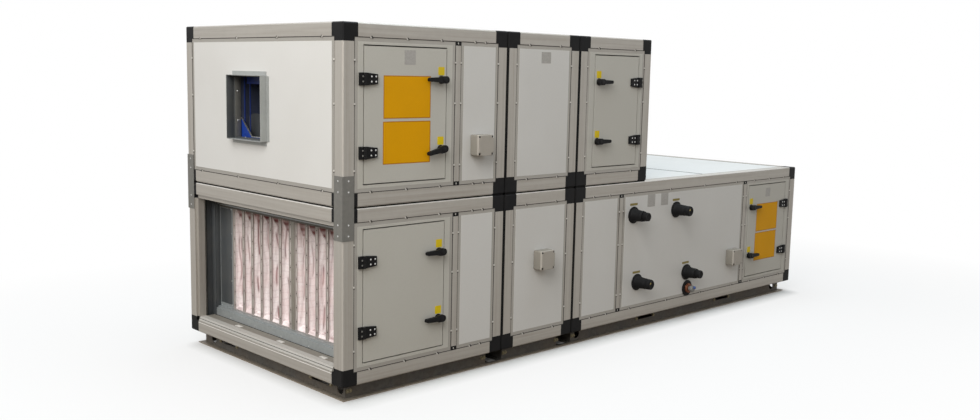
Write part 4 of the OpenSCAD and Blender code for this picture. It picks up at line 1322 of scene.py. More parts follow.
@dataclass(kw_only=True)
class BagFilter(Dressing):
    """One bag filter: a header of strips, staples, and sewn fleece pockets behind it."""

    name: str
    node: str
    low_y: float
    width: float
    count: int
    seed: float
    front_x: float = 141.0
    low_z: float = 140.0
    height: float = 592.0
    header_t: float = 6.5
    rim: float = 16.0
    rim_h: float = 5.0
    bar_w: float = 22.0
    depth: float = 490.0
    pinch_half: float = 13.0
    pinch_depth: float = 75.0
    belly_half: float = 33.0
    belly_depth: float = 230.0
    tail_half: float = 9.0
    mouth_drop: float = 14.0
    levels: int = 64
    near_steps: int = 36
    far_steps: int = 12
    staple_pitch: float = 76.0

    @property
    def pitch(self) -> float:
        """Distance from pocket to pocket."""
        return (self.width - 2 * self.rim) / self.count

    def build(self) -> None:
        """Builds the header, its staples and the pockets."""
        self.header()
        self.staples()
        self.pockets()

    def bars(self) -> list[float]:
        """Finds the middle of each upright strip of the header.

        Returns:
            Places along Y in millimetres.
        """
        inner = [self.low_y + self.rim + k * self.pitch for k in range(1, self.count)]
        edge = self.bar_w / 2
        return [self.low_y + edge, *inner, self.low_y + self.width - edge]

    def header(self) -> None:
        """Builds the upright strips, each a flat channel with raised lips, and the rims."""
        shape = Shape()
        place = self.datum.place()
        x0, x1 = self.front_x, self.front_x + self.header_t
        low, high = self.low_z, self.low_z + self.height
        for y in self.bars():
            half = self.bar_w / 2
            shape.block((x0 + 3, y - half, low), (x1, y + half, high), place, 1.5)
            for side in (-1, 1):
                middle = y + side * (half - 2.5)
                shape.block((x0, middle - 2.5, low), (x0 + 5, middle + 2.5, high), place, 1.2)
        for z in (low, high - self.rim_h):
            shape.block(
                (x0 + 1, self.low_y + 1, z),
                (x1 - 1, self.low_y + self.width - 1, z + self.rim_h),
                place,
                1.5,
            )
        made = shape.build(f"{self.name}_header", HEADER, "filter_cloth")
        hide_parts(self.node)

    def staples(self) -> None:
        """Builds the dark staples down each strip, each beside a bright crimp."""
        dark, bright = Shape(), Shape()
        face = self.datum.left(x=self.front_x + 3.0)
        count = int((self.height - 30) / self.staple_pitch)
        for number, y in enumerate(self.bars()):
            shift = (number % 3) * 11.0
            for k in range(count + 1):
                v = self.low_z + 26.0 + shift + k * self.staple_pitch
                dark.dome(face.frame(y - 2.0, v), 4.2, 2.0, 8)
                bright.prism(
                    face,
                    [(y - 5, v + 14), (y + 1, v + 14), (y + 1, v + 58), (y - 5, v + 58)],
                    (-0.5, 1.0),
                )
        bright.build(f"{self.name}_crimps", LIGHT_CLIP, "filter_cloth")
        dark.build(f"{self.name}_staples", PIPE, "filter_cloth")

    def stations(self) -> list[float]:
        """Lists the depths at which a pocket is cut, close together near its mouth.

        Returns:
            Distances behind the mouth in millimetres.
        """
        near_end = 90.0
        near = [near_end * k / self.near_steps for k in range(self.near_steps + 1)]
        rest = self.depth - near_end
        return near + [near_end + rest * k / self.far_steps for k in range(1, self.far_steps + 1)]

    def half_width(self, depth: float) -> float:
        """Shapes a pocket: drawn in behind its mouth, full, then tapered.

        Args:
            depth: Distance behind the mouth in millimetres.

        Returns:
            The half width in millimetres.
        """
        mouth = (self.pitch - self.bar_w) / 2 + 4.0
        knots = (
            (0.0, mouth),
            (self.pinch_depth, self.pinch_half),
            (self.belly_depth, self.belly_half),
            (self.depth, self.tail_half),
        )
        for (d0, h0), (d1, h1) in zip(knots, knots[1:]):
            if depth <= d1:
                t = (depth - d0) / (d1 - d0)
                return h0 + (h1 - h0) * t * t * (3 - 2 * t)
        return self.tail_half

    def folds(self, tag: float, depth: float, level: float) -> float:
        """Gives how far the fleece stands out of its even shape, in millimetres.

        Args:
            tag: Number that sets this wall apart from the others.
            depth: Distance behind the mouth in millimetres.
            level: Height from -1 at the bottom to 1 at the top.

        Returns:
            The offset in millimetres.
        """
        z = level * self.height / 2
        drift = noise.noise(Vector((tag, z / 210.0, 0.3)))
        rolls = math.sin(math.tau * (depth / 31.0 + drift * 1.1) + tag)
        soft = noise.noise(Vector((z / 120.0, depth / 26.0, tag)))
        creases = noise.noise(Vector((z / 22.0, depth / 30.0, tag + 4.0)))
        gather = math.sin(z / 3.0 + tag) * math.exp(-(1 - abs(level)) * 14)
        held = 1 - math.exp(-depth / 7.0)
        return held * (1.5 * rolls + 4.2 * soft + 1.5 * creases + 1.8 * gather)

    def fold_shade_strength(self, tag: float, depth: float, level: float) -> float:
        """Finds how much painted shade a place gets: in deep folds, along the gathered bottom and
        in the corner under the pocket's top, where the fleece is darkened towards dark red.

        Args:
            tag: Number that sets this wall apart from the others.
            depth: Distance behind the mouth in millimetres.
            level: Height from -1 at the bottom to 1 at the top.

        Returns:
            The strength from 0 to 1.
        """
        z = level * self.height / 2
        bold = min(1.0, max(0.0, 0.45 + 1.5 * noise.noise(Vector((tag * 3.3, 2.0, 5.0)))))
        value = 0.0
        for number in range(2):
            own = tag * 1.7 + number * 5.1
            reach = 0.5 + 0.5 * noise.noise(Vector((own, 0.2, 7.0)))
            line = 12.0 + 44.0 * reach + 16.0 * noise.noise(Vector((own, z / 170.0, 1.0)))
            shown = noise.noise(Vector((own, z / 200.0, 3.0))) - 0.05 + 0.12 * level
            strength = min(0.5 + 0.5 * bold, max(0.0, shown * (4.0 + 5.0 * bold)))
            value = max(value, strength * math.exp(-(((depth - line) / (2.6 + 2.0 * bold)) ** 2)))
        drawn = max(0.0, -level - 0.9) * 10.0
        value = max(value, drawn * (0.2 + 0.8 * noise.noise(Vector((z / 9.0, depth / 14.0, tag)))))
        from_top = (1 - level) * self.height / 2
        slope = 2.2 + 1.6 * noise.noise(Vector((tag, 9.0, 0.0)))
        corner = 4.0 + slope * max(0.0, depth - 8.0)
        band = 0.5 + 0.5 * math.sin(from_top / 6.0 + tag)
        top = min(1.0, max(0.0, (min(corner, 75.0) - from_top) / 3.5))
        return max(value, top * (0.55 + 0.45 * band))

    def level_share(self, level: float, depth: float) -> float:
        """Gives how much of its width a pocket keeps at a level; its ends are rounded."""
        power = 7.0 + 40.0 * math.exp(-depth / 12.0)
        return max(0.0, 1 - abs(level) ** power) ** (1 / power)

    def pocket(self, shape: Shape, number: int) -> None:
        """Adds one pocket to the shape.

        Args:
            shape: The shape of all pockets.
            number: Number of the pocket, from 0 at the service side.
        """
        levels = [math.sin(math.pi / 2 * (2 * k / self.levels - 1)) for k in range(self.levels + 1)]
        walk = [(1, v) for v in levels] + [(-1, v) for v in reversed(levels[1:-1])]
        ring = len(walk)
        centre = self.low_y + self.rim + (number + 0.5) * self.pitch
        middle_z = self.low_z + self.height / 2
        sway = 6.0 * noise.noise(Vector((self.seed, number * 3.7, 0.4)))
        points = []
        for depth in self.stations():
            width = self.half_width(depth)
            drop = self.rim_h + self.mouth_drop * (1 - math.exp(-((depth / 10.0) ** 2)))
            top = self.height / 2 - drop - 16.0 * depth / self.depth
            for side, level in walk:
                tag = self.seed + number * 7.3 + side * 2.1
                half = width * self.level_share(level, depth)
                fold = self.folds(tag, depth, level) * min(1.0, half / 12.0)
                out = min(self.pitch / 2 - 1.5, max(0.5, half + fold)) if half > 0.5 else half
                y = centre + side * out + sway * depth / self.depth
                sag = -8.0 * depth / self.depth * (1 - level) / 2
                points.append(
                    self.datum.at(self.front_x + 2.0 + depth, y, middle_z + level * top + sag)
                )
                # Each point keeps its share of painted fold shade for the fleece.
                shape.values.append(self.fold_shade_strength(tag, depth, level))
        rows = len(points) // ring
        faces: list[tuple[int, ...]] = []
        for row in range(rows - 1):
            for k in range(ring):
                here, after = row * ring + k, row * ring + (k + 1) % ring
                faces.append((here, after, after + ring, here + ring))
        faces.append(tuple(range((rows - 1) * ring, rows * ring)))
        shape.add(points, faces)

    def pockets(self) -> None:
        """Builds the pockets of the filter as one piece of fleece."""
        shape = Shape()
        for number in range(self.count):
            self.pocket(shape, number)
        made = shape.build(f"{self.name}_pockets", FLEECE, "filter_cloth", smooth=180.0)
        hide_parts(self.node)


@dataclass
class FilterHousing(Dressing):
    """Small parts round the filters: sill strip and clips, dark sheets at the far side, strips, a
    band of painted shadow, screws.
    """

    clip_y: tuple[float, ...] = (1060.0, 640.0, 250.0)
    rail_z: float = 65.0
    seat_x: float = 12.0
    leg_z: float = 87.0
    sill_y: Span = (88.0, 1392.0)
    wall_y: float = 1429.5
    far_side_z: Span = (51.0, 808.0)
    channel_x: float = 108.0
    front_x: float = 141.0
    return_y: float = 1375.0
    middle_y: Span = (619.5, 648.5)
    shadow_band_z: Span = (717.0, 738.0)
    filters_y: Span = (128.0, 1375.0)

    def build(self) -> None:
        """Builds all the small parts."""
        place = self.datum.place()
        self.sill(place)
        self.far_side(place)
        self.strips(place)
        self.screws()

    def sill(self, place: Matrix) -> None:
        """Builds the lip, whose near-white finish paints the highlight along the sill, the sloping
        cover, the seals and the clips on the bottom rail.

        Args:
            place: Matrix that moves a piece from zero to the casing's corner.
        """
        z, x, (low, high) = self.rail_z, self.seat_x, self.sill_y
        end = Face(self.datum.at(0, low, 0), X_AXIS, Z_AXIS, Y_AXIS)
        lip = Shape()
        lip.prism(
            end,
            [(-0.9, z - 10), (1.0, z - 10), (x + 0.5, z - 1), (x + 0.5, z + 1.5), (-0.9, z - 7)],
            (0.0, high - low),
        )
        # The lip's near-white finish is a painted highlight along the sill.
        lip.build("sill_lip_highlight", PAINTED_HIGHLIGHT, "bead_plastic")
        cover, top = Shape(), self.leg_z
        cover.prism(
            end,
            [
                (2.0, z + 1.7), (x + 0.5, z + 1.7), (x + 0.5, top - 1), (50, top - 1),
                (50, top + 1), (x - 0.5, top + 1),
            ],
            (0.0, high - low),
        )
        cover.build("sill_cover", SILL_PVC, "bead_plastic")
        floor = Shape()
        floor.block((50.5, low, top - 1), (self.channel_x - 4, high, top + 0.6), place)
        floor.build("sill_floor", STRIP_ZINC, "galvanised")
        seal = Shape()
        seal.prism(
            end,
            [(6.2, z + 12.6), (5.6, z + 12.6), (6.5, z + 14.4), (7.2, z + 14.4)],
            (0.0, high - low),
        )
        front, back = self.channel_x - 5, self.channel_x - 0.3
        seal.block((front, low, top - 0.5), (back, high, top + 1), place)
        seal.build("sill_seals", FOAM, "foam")
        clips = Shape()
        for y in self.clip_y:
            clips.block((56, y - 26, self.leg_z - 1), (78, y + 26, self.leg_z + 2.5), place, 1.2)
            clips.block((60, y - 8, self.leg_z + 2), (74, y + 8, self.leg_z + 4), place, 1.0)
        clips.build("sill_clips", WHITE_CLIP, "panel_coat")

    def far_side(self, place: Matrix) -> None:
        """Builds two black strips, the rib and dark sheets over the far wall, the channel and the
        blank plate; together they make that side of the opening dark.

        Args:
            place: Matrix that moves a piece from zero to the casing's corner.
        """
        wall, (low, high), x = self.wall_y, self.far_side_z, self.channel_x
        seal = Shape()
        seal.block((51, wall - 2, low), (64, wall, high), place)
        seal.block((72, wall - 2, low), (80, wall, high), place)
        seal.build("far_side_black_strips", FOAM, "foam")
        rib = Shape()
        rib.block((64.5, wall - 14, low), (71.5, wall - 0.5, high), place, 2.0)
        rib.build("far_side_rib", ZINC, "galvanised")
        sheets, edge = Shape(), self.return_y
        sheets.block((80.5, wall - 2, low), (x - 0.4, wall, high), place)
        sheets.block((x - 1.6, edge + 2.5, low), (x + 0.3, wall - 0.5, high), place, 0.6)
        sheets.block((x + 0.5, edge - 1.0, 140), (self.front_x - 7, edge + 0.5, 745), place, 0.3)
        sheets.block((self.front_x - 1.0, 1256, 161), (self.front_x + 2.5, 1376.5, 711), place, 0.8)
        sheets.build("far_side_dark_sheets", DUCT, "galvanised")

    def strips(self, place: Matrix) -> None:
        """Builds the strip between the filters and the dark bands above them, which paint the
        shadow under the top rail.

        Args:
            place: Matrix that moves a piece from zero to the casing's corner.
        """
        x, (left, right), (near, far) = self.front_x, self.middle_y, self.filters_y
        middle = Shape()
        middle.block((x - 1, left, 136), (x + 4, right, 736), place, 1.0)
        middle.build("filter_middle_strip", STRIP_ZINC, "galvanised")
        band = Shape()
        band.block((x - 4, near, self.shadow_band_z[0]), (x - 1.2, far, self.shadow_band_z[1]), place, 1.0)
        band.block(
            (self.channel_x - 1.6, 60, 742), (self.channel_x + 0.3, far + 2, 808), place, 0.6
        )
        # Dark band: painted shadow under the top rail.
        band.build("filter_top_shadow_band", BASE_ZINC, "galvanised")

    def screws(self) -> None:
        """Builds the screws beside the blank plate and along the channel's sill."""
        screws = Shape()
        face = self.datum.left(x=self.front_x)
        for v in (160.0, 300.0, 436.0, 572.0, 710.0):
            screws.dome(face.frame(1259.0, v), 4.0, 1.5)
        sill = self.datum.left(x=self.channel_x)
        for u in range(180, int(PLAN.casing_w) - 100, 260):
            screws.dome(sill.frame(float(u), 96.0), 4.5, 1.6)
        screws.build("filter_housing_screws", PLATED, "galvanised")


@dataclass
class JunctionBoxes(Dressing):
    """Moulded boxes with a stepped lid and a screw in each corner recess."""

    places: tuple[Span, ...] = (
        (856.0, 1136.0),
        (1354.0, 478.0),
        (3292.0, 277.0),
    )
    size: float = 108.0
    base_d: float = 50.0
    depth: float = 66.5
    notch: float = 17.0
    screw_in: float = 9.5

    def notched(self, inset: float) -> list[Span]:
        """Draws the lid's outline round zero, square with its corners cut out.

        Args:
            inset: How far the outline lies inside the box in millimetres.

        Returns:
            The corners in millimetres.
        """
        u, n = self.size / 2 - inset, self.size / 2 - self.notch
        quarter = [(u, n), (n, n), (n, u)]
        outline = []
        for turn in range(4):
            c, s = round(math.cos(turn * math.pi / 2)), round(math.sin(turn * math.pi / 2))
            outline += [(c * a - s * b, s * a + c * b) for a, b in quarter]
        return outline

    def build(self) -> None:
        """Builds the boxes, their lids and screws."""
        bases, lids, screws = Shape(), Shape(), Shape()
        for x, z in self.places:
            face = self.datum.service()
            spot = Face(face.at(x, z), face.along, face.up, face.out)
            place = spot.frame()
            u = self.size / 2
            bases.block((-u, -u, -1), (u, u, self.base_d - 1.5), place, 7.0, 4)
            inner, outer, joint = u - 2, u - 0.4, self.base_d
            low, high = (-inner, -inner, joint - 9), (inner, inner, joint + 3)
            bases.block(low, high, place, 5.0, 3)
            low, high = (-outer, -outer, joint), (outer, outer, self.depth - 5)
            lids.block(low, high, place, 4.5, 4)
            lids.prism(spot, self.notched(1.5), (self.depth - 6, self.depth - 1))
            lids.prism(spot, self.notched(3.5), (self.depth - 1.2, self.depth))
            for du in (-u + self.screw_in, u - self.screw_in):
                for dv in (-u + self.screw_in, u - self.screw_in):
                    screws.dome(spot.frame(du, dv, self.depth - 5), 5.4, 2.2, 14)
        # The bodies' darker copy of the ABS is painted shade on the box sides.
        made = bases.build("junction_box_bases", SHADED_BOX_ABS, "box_plastic")
        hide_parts("junction_boxes")
        lids.build("junction_box_lids", BOX_ABS, "box_plastic")
        screws.build("junction_box_screws", PIPE, "box_plastic")


@dataclass
class PipeFittings(Dressing):
    """Turned rubber boots with ribs, pipe ends, and the drain with its collar and cap."""

    boots: tuple[tuple[float, float, bool], ...] = (
        (2187.0, 657.0, False),
        (2629.0, 657.0, True),
        (2246.0, 229.0, True),
        (2774.0, 229.0, False),
    )
    drain: Span = (2788.0, 120.0)
    bore: float = 22.4

    def build(self) -> None:
        """Builds the boots, the brass tips and the drain pieces."""
        face = self.datum.service(y=1.0)
        rubber, brass = Shape(), Shape()
        profile = [
            (self.bore, 0.0), (50.5, 0.0), (52.0, 2.0), (52.0, 6.0), (50.0, 8.0), (42.0, 9.0),
            (40.0, 12.0), (38.0, 20.0), (36.5, 32.0), (35.0, 46.0), (33.6, 60.0), (33.0, 66.0),
            (34.0, 68.0), (34.0, 72.0), (32.6, 74.0), (32.0, 80.0), (31.4, 84.0),
            (self.bore, 84.0),
        ]
        wide = [
            (24.2, 84.2), (31.6, 84.2), (32.6, 86.0), (32.2, 108.0), (30.6, 114.0),
            (27.4, 115.5), (24.2, 115.5),
        ]
        narrow = [
            (24.2, 84.2), (26.0, 84.2), (26.8, 86.0), (26.8, 110.0), (26.0, 117.0), (24.2, 117.0),
        ]
        tip = [(2.0, 0.0), (8.0, 0.0), (8.0, 5.0), (6.0, 7.0), (2.0, 7.0)]
        for x, z, has_brass in self.boots:
            place = face.frame(x, z)
            rubber.lathe(profile, place, 48)
            rubber.lathe(wide if has_brass else narrow, place, 48)
            if has_brass:
                nose = face.frame(x - 10, z + 10, 110)
                brass.lathe(tip, nose, 12)
        made = rubber.build("rubber_boots", RUBBER, "boot_rubber")
        brass.build("pipe_end_plugs", BRASS, "pipe_metal")
        self.drain_pieces(face, made)

    def drain_pieces(self, face: Face, boots: bpy.types.Object) -> None:
        """Builds the disc, copper collar, pipe end and cap of the drain.

        Args:
            face: The face of the panel.
            boots: The rubber boots; not used.
        """
        place = face.frame(*self.drain)
        disc = Shape()
        disc.lathe([(16.3, 0), (50.5, 0), (52, 2), (52, 6), (50, 8), (16.3, 8)], place, 48)
        rubber = disc.build("drain_disc", RUBBER, "boot_rubber")
        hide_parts("pipe_boots")
        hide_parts("pipe_boots")
        collar = Shape()
        collar.lathe(
            [(16.0, 8.2), (30.0, 8.2), (32.0, 10.0), (31.0, 20.0), (27.0, 24.0), (16.0, 24.0)],
            place, 40,
        )
        collar.build("drain_collar", COPPER, "pipe_metal")
        pipe = Shape()
        pipe.lathe(
            [(8.0, 22.0), (15.0, 24.2), (15.0, 32.0), (19.5, 35.0), (21.5, 40.0), (21.5, 50.0),
             (18.5, 55.5), (12.0, 57.5), (8.0, 57.5)],
            place, 40,
        )
        made = pipe.build("drain_pipe", PVC, "drain_plastic")
        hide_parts("drain_stub")
        cap = Shape()
        nose = face.frame(self.drain[0] + 6, self.drain[1] + 9, 54)
        cap.lathe([(2.0, 0.0), (8.5, 0.0), (8.5, 10.0), (7.0, 13.0), (2.0, 13.0)], nose, 24)
        cap.build("drain_cap", CAP, "drain_plastic")


@dataclass
class BaseBolts(Dressing):
    """Bolts in pairs at the ends of the base channel webs and by the slots, and painted light on
    the flanges.
    """

    web: float = 60.0
    drop: float = 33.0
    washer: tuple[Span, ...] = ((3.0, -1.0), (11.0, -1.0), (11.0, 1.6), (3.0, 1.6))
    head: tuple[Span, ...] = ((2.0, 1.6), (7.5, 1.6), (7.5, 6.0), (6.4, 7.0), (2.0, 7.0))
    flange_in: float = 29.0
    flange_t: float = 4.6
    flange_w: float = 29.0

    def bolt(self, shape: Shape, face: Face, u: float, v: float) -> None:
        """Adds one hexagon bolt with its washer.

        Args:
            shape: The shape of all bolts.
            face: The face that it stands on.
            u: Place along the face.
            v: Place up the face.
        """
        place = face.frame(u, v)
        shape.lathe(self.washer, place, 20)
        shape.lathe(self.head, place, 6)

    def build(self) -> None:
        """Builds all bolts as one piece, and the painted light on the flanges."""
        shape = Shape()
        front = self.datum.service(y=self.web)
        rear = Face(
            self.datum.at(0, PLAN.casing_w - self.web, 0), X_AXIS, Z_AXIS,
            Y_AXIS,
        )
        places = (74.0, 974.0, 1138.0, 1566.0, PLAN.coil_x + 72.0, PLAN.length - 74.0)
        slots = (PLAN.coil_x + 784.0, PLAN.length - 813.0)
        for face in (front, rear):
            for u in places:
                for du in (0.0, 16.0 if u < PLAN.length / 2 else -16.0):
                    self.bolt(shape, face, u + du, -self.drop - 7.0)
            for u in slots:
                for du in (-88.0, 88.0):
                    self.bolt(shape, face, u + du, -self.drop)
        left = self.datum.left(x=self.web)
        right = self.datum.right(PLAN.length - self.web)
        for face in (left, right):
            for u in (264.0 - 88.0, 264.0 + 88.0, 1159.0 - 88.0, 1159.0 + 88.0):
                self.bolt(shape, face, u, -self.drop)
        shape.build("base_bolts", BOLT, "galvanised")
        self.edges()

    def edges(self) -> None:
        """Builds the painted highlight along the edge of the lower flange of the channels, and the
        lighter tops that paint the light on the flange.
        """
        edge, place = Shape(), self.datum.place()
        low, thick, wide = self.flange_in, self.flange_t, 2.5
        far, back, z = PLAN.length - low, PLAN.casing_w - low, -PLAN.base_h
        for box in (
            ((low - 0.4, low, z + 0.4), (low + wide, back, z + thick)),
            ((far - wide, low, z + 0.4), (far + 0.4, back, z + thick)),
            ((low, low - 0.4, z + 0.4), (far, low + wide, z + thick)),
            ((low, back - wide, z + 0.4), (far, back + 0.4, z + thick)),
        ):
            edge.block(*box, place, 0.8)
        edge.build("base_flange_edge_highlights", FLANGE_EDGE_HIGHLIGHT, "galvanised")
        tops, deep = Shape(), low + self.flange_w
        for (x0, y0), (x1, y1) in (
            ((low + wide, low + wide), (deep, back - wide)),
            ((far - self.flange_w, low + wide), (far - wide, back - wide)),
            ((deep, low + wide), (far - self.flange_w, deep)),
            ((deep, back - self.flange_w), (far - self.flange_w, back - wide)),
        ):
            tops.block((x0, y0, z + 3.6), (x1, y1, z + thick - 0.1), place, 0.3)
        tops.build("base_flange_lit_tops", LIT_FLANGE_ZINC, "galvanised")


@dataclass
class FanOutlet(Dressing):
    """Small parts at the outlet: flange bolts, a dark sheet of painted shade in the collar, a
    lining in the duct, the cut-off's sheet in lit enamel and its lip.
    """

    low_y: float = 646.0
    low_z: float = 1134.0
    size: float = 335.0
    flange_u: float = 26.0
    sheet: float = 4.0
    slope_w: float = 104.0
    side_h: float = 105.0
    middle_h: float = 8.0

    def build(self) -> None:
        """Builds the bolts, the painted shade sheet and the duct lining, the cut-off, its lip and
        the dark guide plate.
        """
        self.bolts()
        self.sheets()
        self.cutoff_sheet()
        self.lip()
        self.guide_plate()

    def bolts(self) -> None:
        """Builds the bolts in the duct flange."""
        bolts = Shape()
        inner = 9.0
        far = Face(
            self.datum.at(0, self.low_y + self.size - inner, self.low_z), X_AXIS,
            Z_AXIS, -Y_AXIS,
        )
        near = Face(
            self.datum.at(0, self.low_y + inner, self.low_z), X_AXIS,
            Z_AXIS, Y_AXIS,
        )
        floor = Face(
            self.datum.at(0, self.low_y, self.low_z + inner), X_AXIS, Y_AXIS,
            Z_AXIS,
        )
        for face in (far, near, floor):
            for v in (95.0, 250.0):
                bolts.dome(face.frame(self.flange_u, v), 5.0, 3.0, 12)
        bolts.build("outlet_flange_bolts", PLATED, "galvanised")

    def sheets(self) -> None:
        """Builds the dark sheet in the collar, which paints the shade on its far inner wall, and
        the paler one in the duct, at the far side.
        """
        place, wall = self.datum.place(z=self.low_z), self.low_y + self.size
        dark, pale = Shape(), Shape()
        # Dark sheet: painted shade on the collar's far inner wall.
        dark.block((-37.4, wall - 4.2, 3.5), (0.4, wall - 2.8, self.size - 3.5), place, 0.4)
        dark.build("collar_shade_sheet", DUCT, "galvanised")
        pale.block((9.5, wall - 10.0, 9.5), (42.0, wall - 8.8, self.size - 9.5), place, 0.4)
        pale.build("duct_lining", ZINC, "galvanised")

    def cutoff_sheet(self) -> None:
        """Builds the face of the cut-off in the lit copy of the enamel, which paints the light it
        catches, and the folded seams behind it.
        """
        sheet = Shape()
        face = self.datum.left(self.low_z, x=50.0)
        low, high = self.low_y + self.sheet + 1, self.low_y + self.size - self.sheet - 1
        top, floor = self.sheet + self.side_h, self.sheet + self.middle_h
        sheet.prism(
            face,
            [
                (low, self.sheet), (high, self.sheet), (high, top), (high - self.slope_w, floor),
                (low + self.slope_w, floor), (low, top),
            ],
            (-0.5, 1.5),
        )
        sheet.build("cutoff_sheet", LIT_ENAMEL, "fan_paint")
        seams = Shape()
        seam, roof = self.datum.left(self.low_z, x=60.0), self.size - self.sheet
        for y, half, foot in ((high - 16.0, 3.0, 8.0), (high - 71.0, 2.0, 8.0)):
            seams.plate(seam, (y - half, foot, y + half, roof), (-2.0, 2.0), 0.6)
        seams.plate(seam, (low, roof - 42.0, high - 40.0, roof), (-1.5, 1.0), 0.6)
        seams.build("scroll_seams", SEAM_ENAMEL, "fan_paint")

    def lip(self) -> None:
        """Builds the bright edge along the top of the cut-off plate."""
        lip = Shape()
        face = self.datum.left(self.low_z, x=49.0)
        low, high = self.low_y + self.sheet, self.low_y + self.size - self.sheet
        top, floor, thick = self.sheet + self.side_h, self.sheet + self.middle_h, 4.0
        knots = (
            (low, top), (low + self.slope_w, floor), (high - self.slope_w, floor), (high, top)
        )
        for (u0, v0), (u1, v1) in zip(knots, knots[1:]):
            lip.prism(face, [(u0, v0), (u1, v1), (u1, v1 + thick), (u0, v0 + thick)], (-3.0, 3.0))
        lip.build("cutoff_lip", PLATED, "fan_paint")

    def guide_plate(self) -> None:
        """Builds the dark plate with a round top that stands behind the cut-off."""
        plate = Shape()
        face = self.datum.left(x=92.0)
        centre_y, centre_z, radius, limit = 905.0, 1150.0, 118.0, 972.0
        outline = [(limit, self.low_z + 8)]
        steps = 28
        for k in range(steps + 1):
            angle = math.pi * (0.3 + 0.7 * k / steps)
            y = centre_y + radius * math.cos(angle)
            outline.append((min(limit, y), centre_z + radius * math.sin(angle)))
        outline.append((centre_y - radius, self.low_z + 8))
        plate.prism(face, outline, (-3.0, 0.0))
        plate.build("fan_guide_plate", DARK_STEEL, "fan_paint")


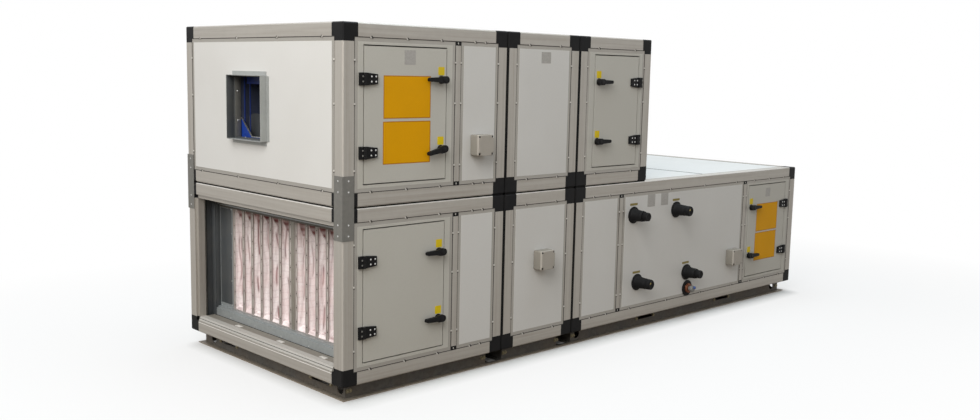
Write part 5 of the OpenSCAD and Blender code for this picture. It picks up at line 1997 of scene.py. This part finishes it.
@dataclass
class Studio(Dressing):
    """Camera at the photograph's place, soft lamps, a pale floor and a white background."""

    glossy_white: float = 0.6
    focal_px: float = 1012.88
    frame_w: float = 980.0
    sensor: float = 36.0
    eye: Point = (-2753.12, -3820.61, 1507.40)
    right: Point = (0.71945638, -0.69421388, 0.02120389)
    down: Point = (-0.0782176, -0.11132143, -0.99070154)
    forward: Point = (0.69011921, 0.71110803, -0.13439066)

    def build(self) -> None:
        """Builds the whole studio."""
        self.camera()
        self.lamps()
        self.floor()
        self.world()

    def camera(self) -> None:
        """Sets the camera from the solved photograph."""
        data = bpy.data.cameras.new("photograph_camera")
        data.sensor_fit = "HORIZONTAL"
        data.sensor_width = self.sensor
        data.lens = self.focal_px / self.frame_w * self.sensor
        data.clip_start, data.clip_end = 0.05, 100.0
        camera = bpy.data.objects.new("photograph_camera", data)
        bpy.context.scene.collection.objects.link(camera)
        axes = Matrix(
            (Vector(self.right), -Vector(self.down), -Vector(self.forward))
        ).transposed()
        camera.matrix_world = Matrix.Translation(self.datum.at(*self.eye)) @ axes.to_4x4()
        bpy.context.scene.camera = camera

    def lamp(self, name: str, place: Point, size: float, power: float, tint: Point) -> None:
        """Adds one square area lamp that points at the middle of the unit.

        Args:
            name: Name of the lamp.
            place: Its place in metres.
            size: Its side in metres.
            power: Its power in watts.
            tint: Its colour.
        """
        data = bpy.data.lights.new(name, "AREA")
        data.shape = "SQUARE"
        data.size = size
        data.energy = power
        data.color = tint
        lamp = bpy.data.objects.new(name, data)
        lamp.location = place
        aim = Vector((0, 0, 0.9)) - Vector(place)
        lamp.rotation_mode = "QUATERNION"
        lamp.rotation_quaternion = aim.to_track_quat("-Z", "Y")
        bpy.context.scene.collection.objects.link(lamp)

    def lamps(self) -> None:
        """Adds the lamps: a strong one at the left end and weak ones elsewhere."""
        self.lamp("left_lamp", (-7.6, -3.1, 6.3), 7.0, 860.0, (1.0, 1.0, 0.985))
        self.lamp("top_lamp", (0.5, 0.2, 8.0), 6.0, 415.0, (0.74, 0.9, 1.0))
        self.lamp("front_lamp", (2.5, -8.0, 5.0), 6.0, 42.0, (1.0, 1.0, 1.0))

    def floor(self) -> None:
        """Adds the pale floor, white to the camera but for the unit's shadow."""
        made = bpy.data.materials.new("pale_floor")
        made.use_nodes = True
        tree = made.node_tree
        tree.nodes.clear()
        place = add_node(tree, "ShaderNodeTexCoord").outputs["Object"]
        path = add_node(tree, "ShaderNodeLightPath").outputs
        straight = path["Is Camera Ray"]
        # Metal sees the floor partly white and partly as the warm ground it stands on.
        seen = maths(tree, "MULTIPLY_ADD", path["Is Glossy Ray"], self.glossy_white, straight)
        share = maths(tree, "MULTIPLY", seen, self.beyond_unit(tree, place))
        shade = add_node(
            tree,
            "ShaderNodeMix",
            {"data_type": "RGBA"},
            {0: straight, 6: linear("#766856"), 7: linear("#d9d8d6")},
        ).outputs[2]
        matt = add_node(tree, "ShaderNodeBsdfDiffuse", None, {"Color": shade}).outputs[0]
        glow = add_node(
            tree, "ShaderNodeEmission", None, {"Color": linear("#ffffff"), "Strength": 1.0}
        ).outputs[0]
        mixed = add_node(
            tree, "ShaderNodeMixShader", None, {0: share, 1: matt, 2: glow}
        ).outputs[0]
        add_node(tree, "ShaderNodeOutputMaterial", None, {"Surface": mixed})
        half = 30.0
        mesh = bpy.data.meshes.new("floor")
        mesh.from_pydata(
            [(-half, -half, 0), (half, -half, 0), (half, half, 0), (-half, half, 0)],
            [],
            [(0, 1, 2, 3)],
        )
        mesh.materials.append(made)
        floor = bpy.data.objects.new("floor", mesh)
        bpy.context.scene.collection.objects.link(floor)

    def shown(self, tree: Tree) -> Socket:
        """Picks the rays that show a picture: from the camera, a mirror surface or glass.

        Args:
            tree: The node tree that asks.

        Returns:
            The socket with 1 for such a ray and 0 for others.
        """
        path = add_node(tree, "ShaderNodeLightPath").outputs
        seen = maths(tree, "MAXIMUM", path["Is Camera Ray"], path["Is Transmission Ray"])
        return maths(tree, "MAXIMUM", seen, path["Is Glossy Ray"])

    def beyond_unit(self, tree: Tree, place: Socket) -> Socket:
        """Whitens the floor: not under the unit, more and more beyond it.

        Args:
            tree: The floor's node tree.
            place: Object coordinates.

        Returns:
            The socket with the share of white.
        """
        parts = maths(tree, "ABSOLUTE", place, kind="Vector")
        past = maths(tree, "SUBTRACT", parts, (2.0, 0.69, 0.0), kind="Vector")
        outside = maths(tree, "MAXIMUM", past, (0.0, 0.0, 0.0), kind="Vector")
        reach = maths(tree, "LENGTH", outside, kind="Vector")
        near = ramp(tree, reach, 0.0, 0.12, 0.0, 0.7)
        far = ramp(tree, reach, 0.12, 2.6, 0.0, 0.3)
        return maths(tree, "ADD", near, far)

    def world(self) -> None:
        """Makes the background white to the camera and gives a plain level of light."""
        world = bpy.data.worlds.new("studio_world")
        world.use_nodes = True
        tree = world.node_tree
        tree.nodes.clear()
        strength = add_node(
            tree, "ShaderNodeMapRange", None, {0: self.shown(tree), 3: 0.305, 4: 1.0}
        ).outputs[0]
        light = add_node(
            tree,
            "ShaderNodeBackground",
            None,
            {"Color": linear("#ffffff"), "Strength": strength},
        ).outputs[0]
        add_node(tree, "ShaderNodeOutputWorld", None, {"Surface": light})
        bpy.context.scene.world = world
        bpy.context.scene.view_settings.view_transform = "Standard"


def main() -> None:
    """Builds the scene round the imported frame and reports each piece."""
    logging.basicConfig(level=logging.INFO, format="%(message)s")
    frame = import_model()
    datum = Datum()
    parts = (
        BeadClips(datum),
        TierEdges(datum),
        SectionJoints(datum),
        SpliceRivets(datum),
        DoorFittings(datum),
        FilmPlates(datum),
        BagFilter(
            datum, name="wide_filter", node="wide_bag_filter", low_y=650.0, width=592.0,
            count=6, seed=1.7,
        ),
        BagFilter(
            datum, name="narrow_filter", node="narrow_bag_filter", low_y=128.0, width=490.0,
            count=5, seed=8.2,
        ),
        FilterHousing(datum),
        JunctionBoxes(datum),
        PipeFittings(datum),
        BaseBolts(datum),
        FanOutlet(datum),
        Studio(datum),
    )
    CasingDress().dress(frame["nodes"])
    for part in parts:
        part.build()
        LOG.info("done: %s", type(part).__name__)


if __name__ == "__main__":
    main()
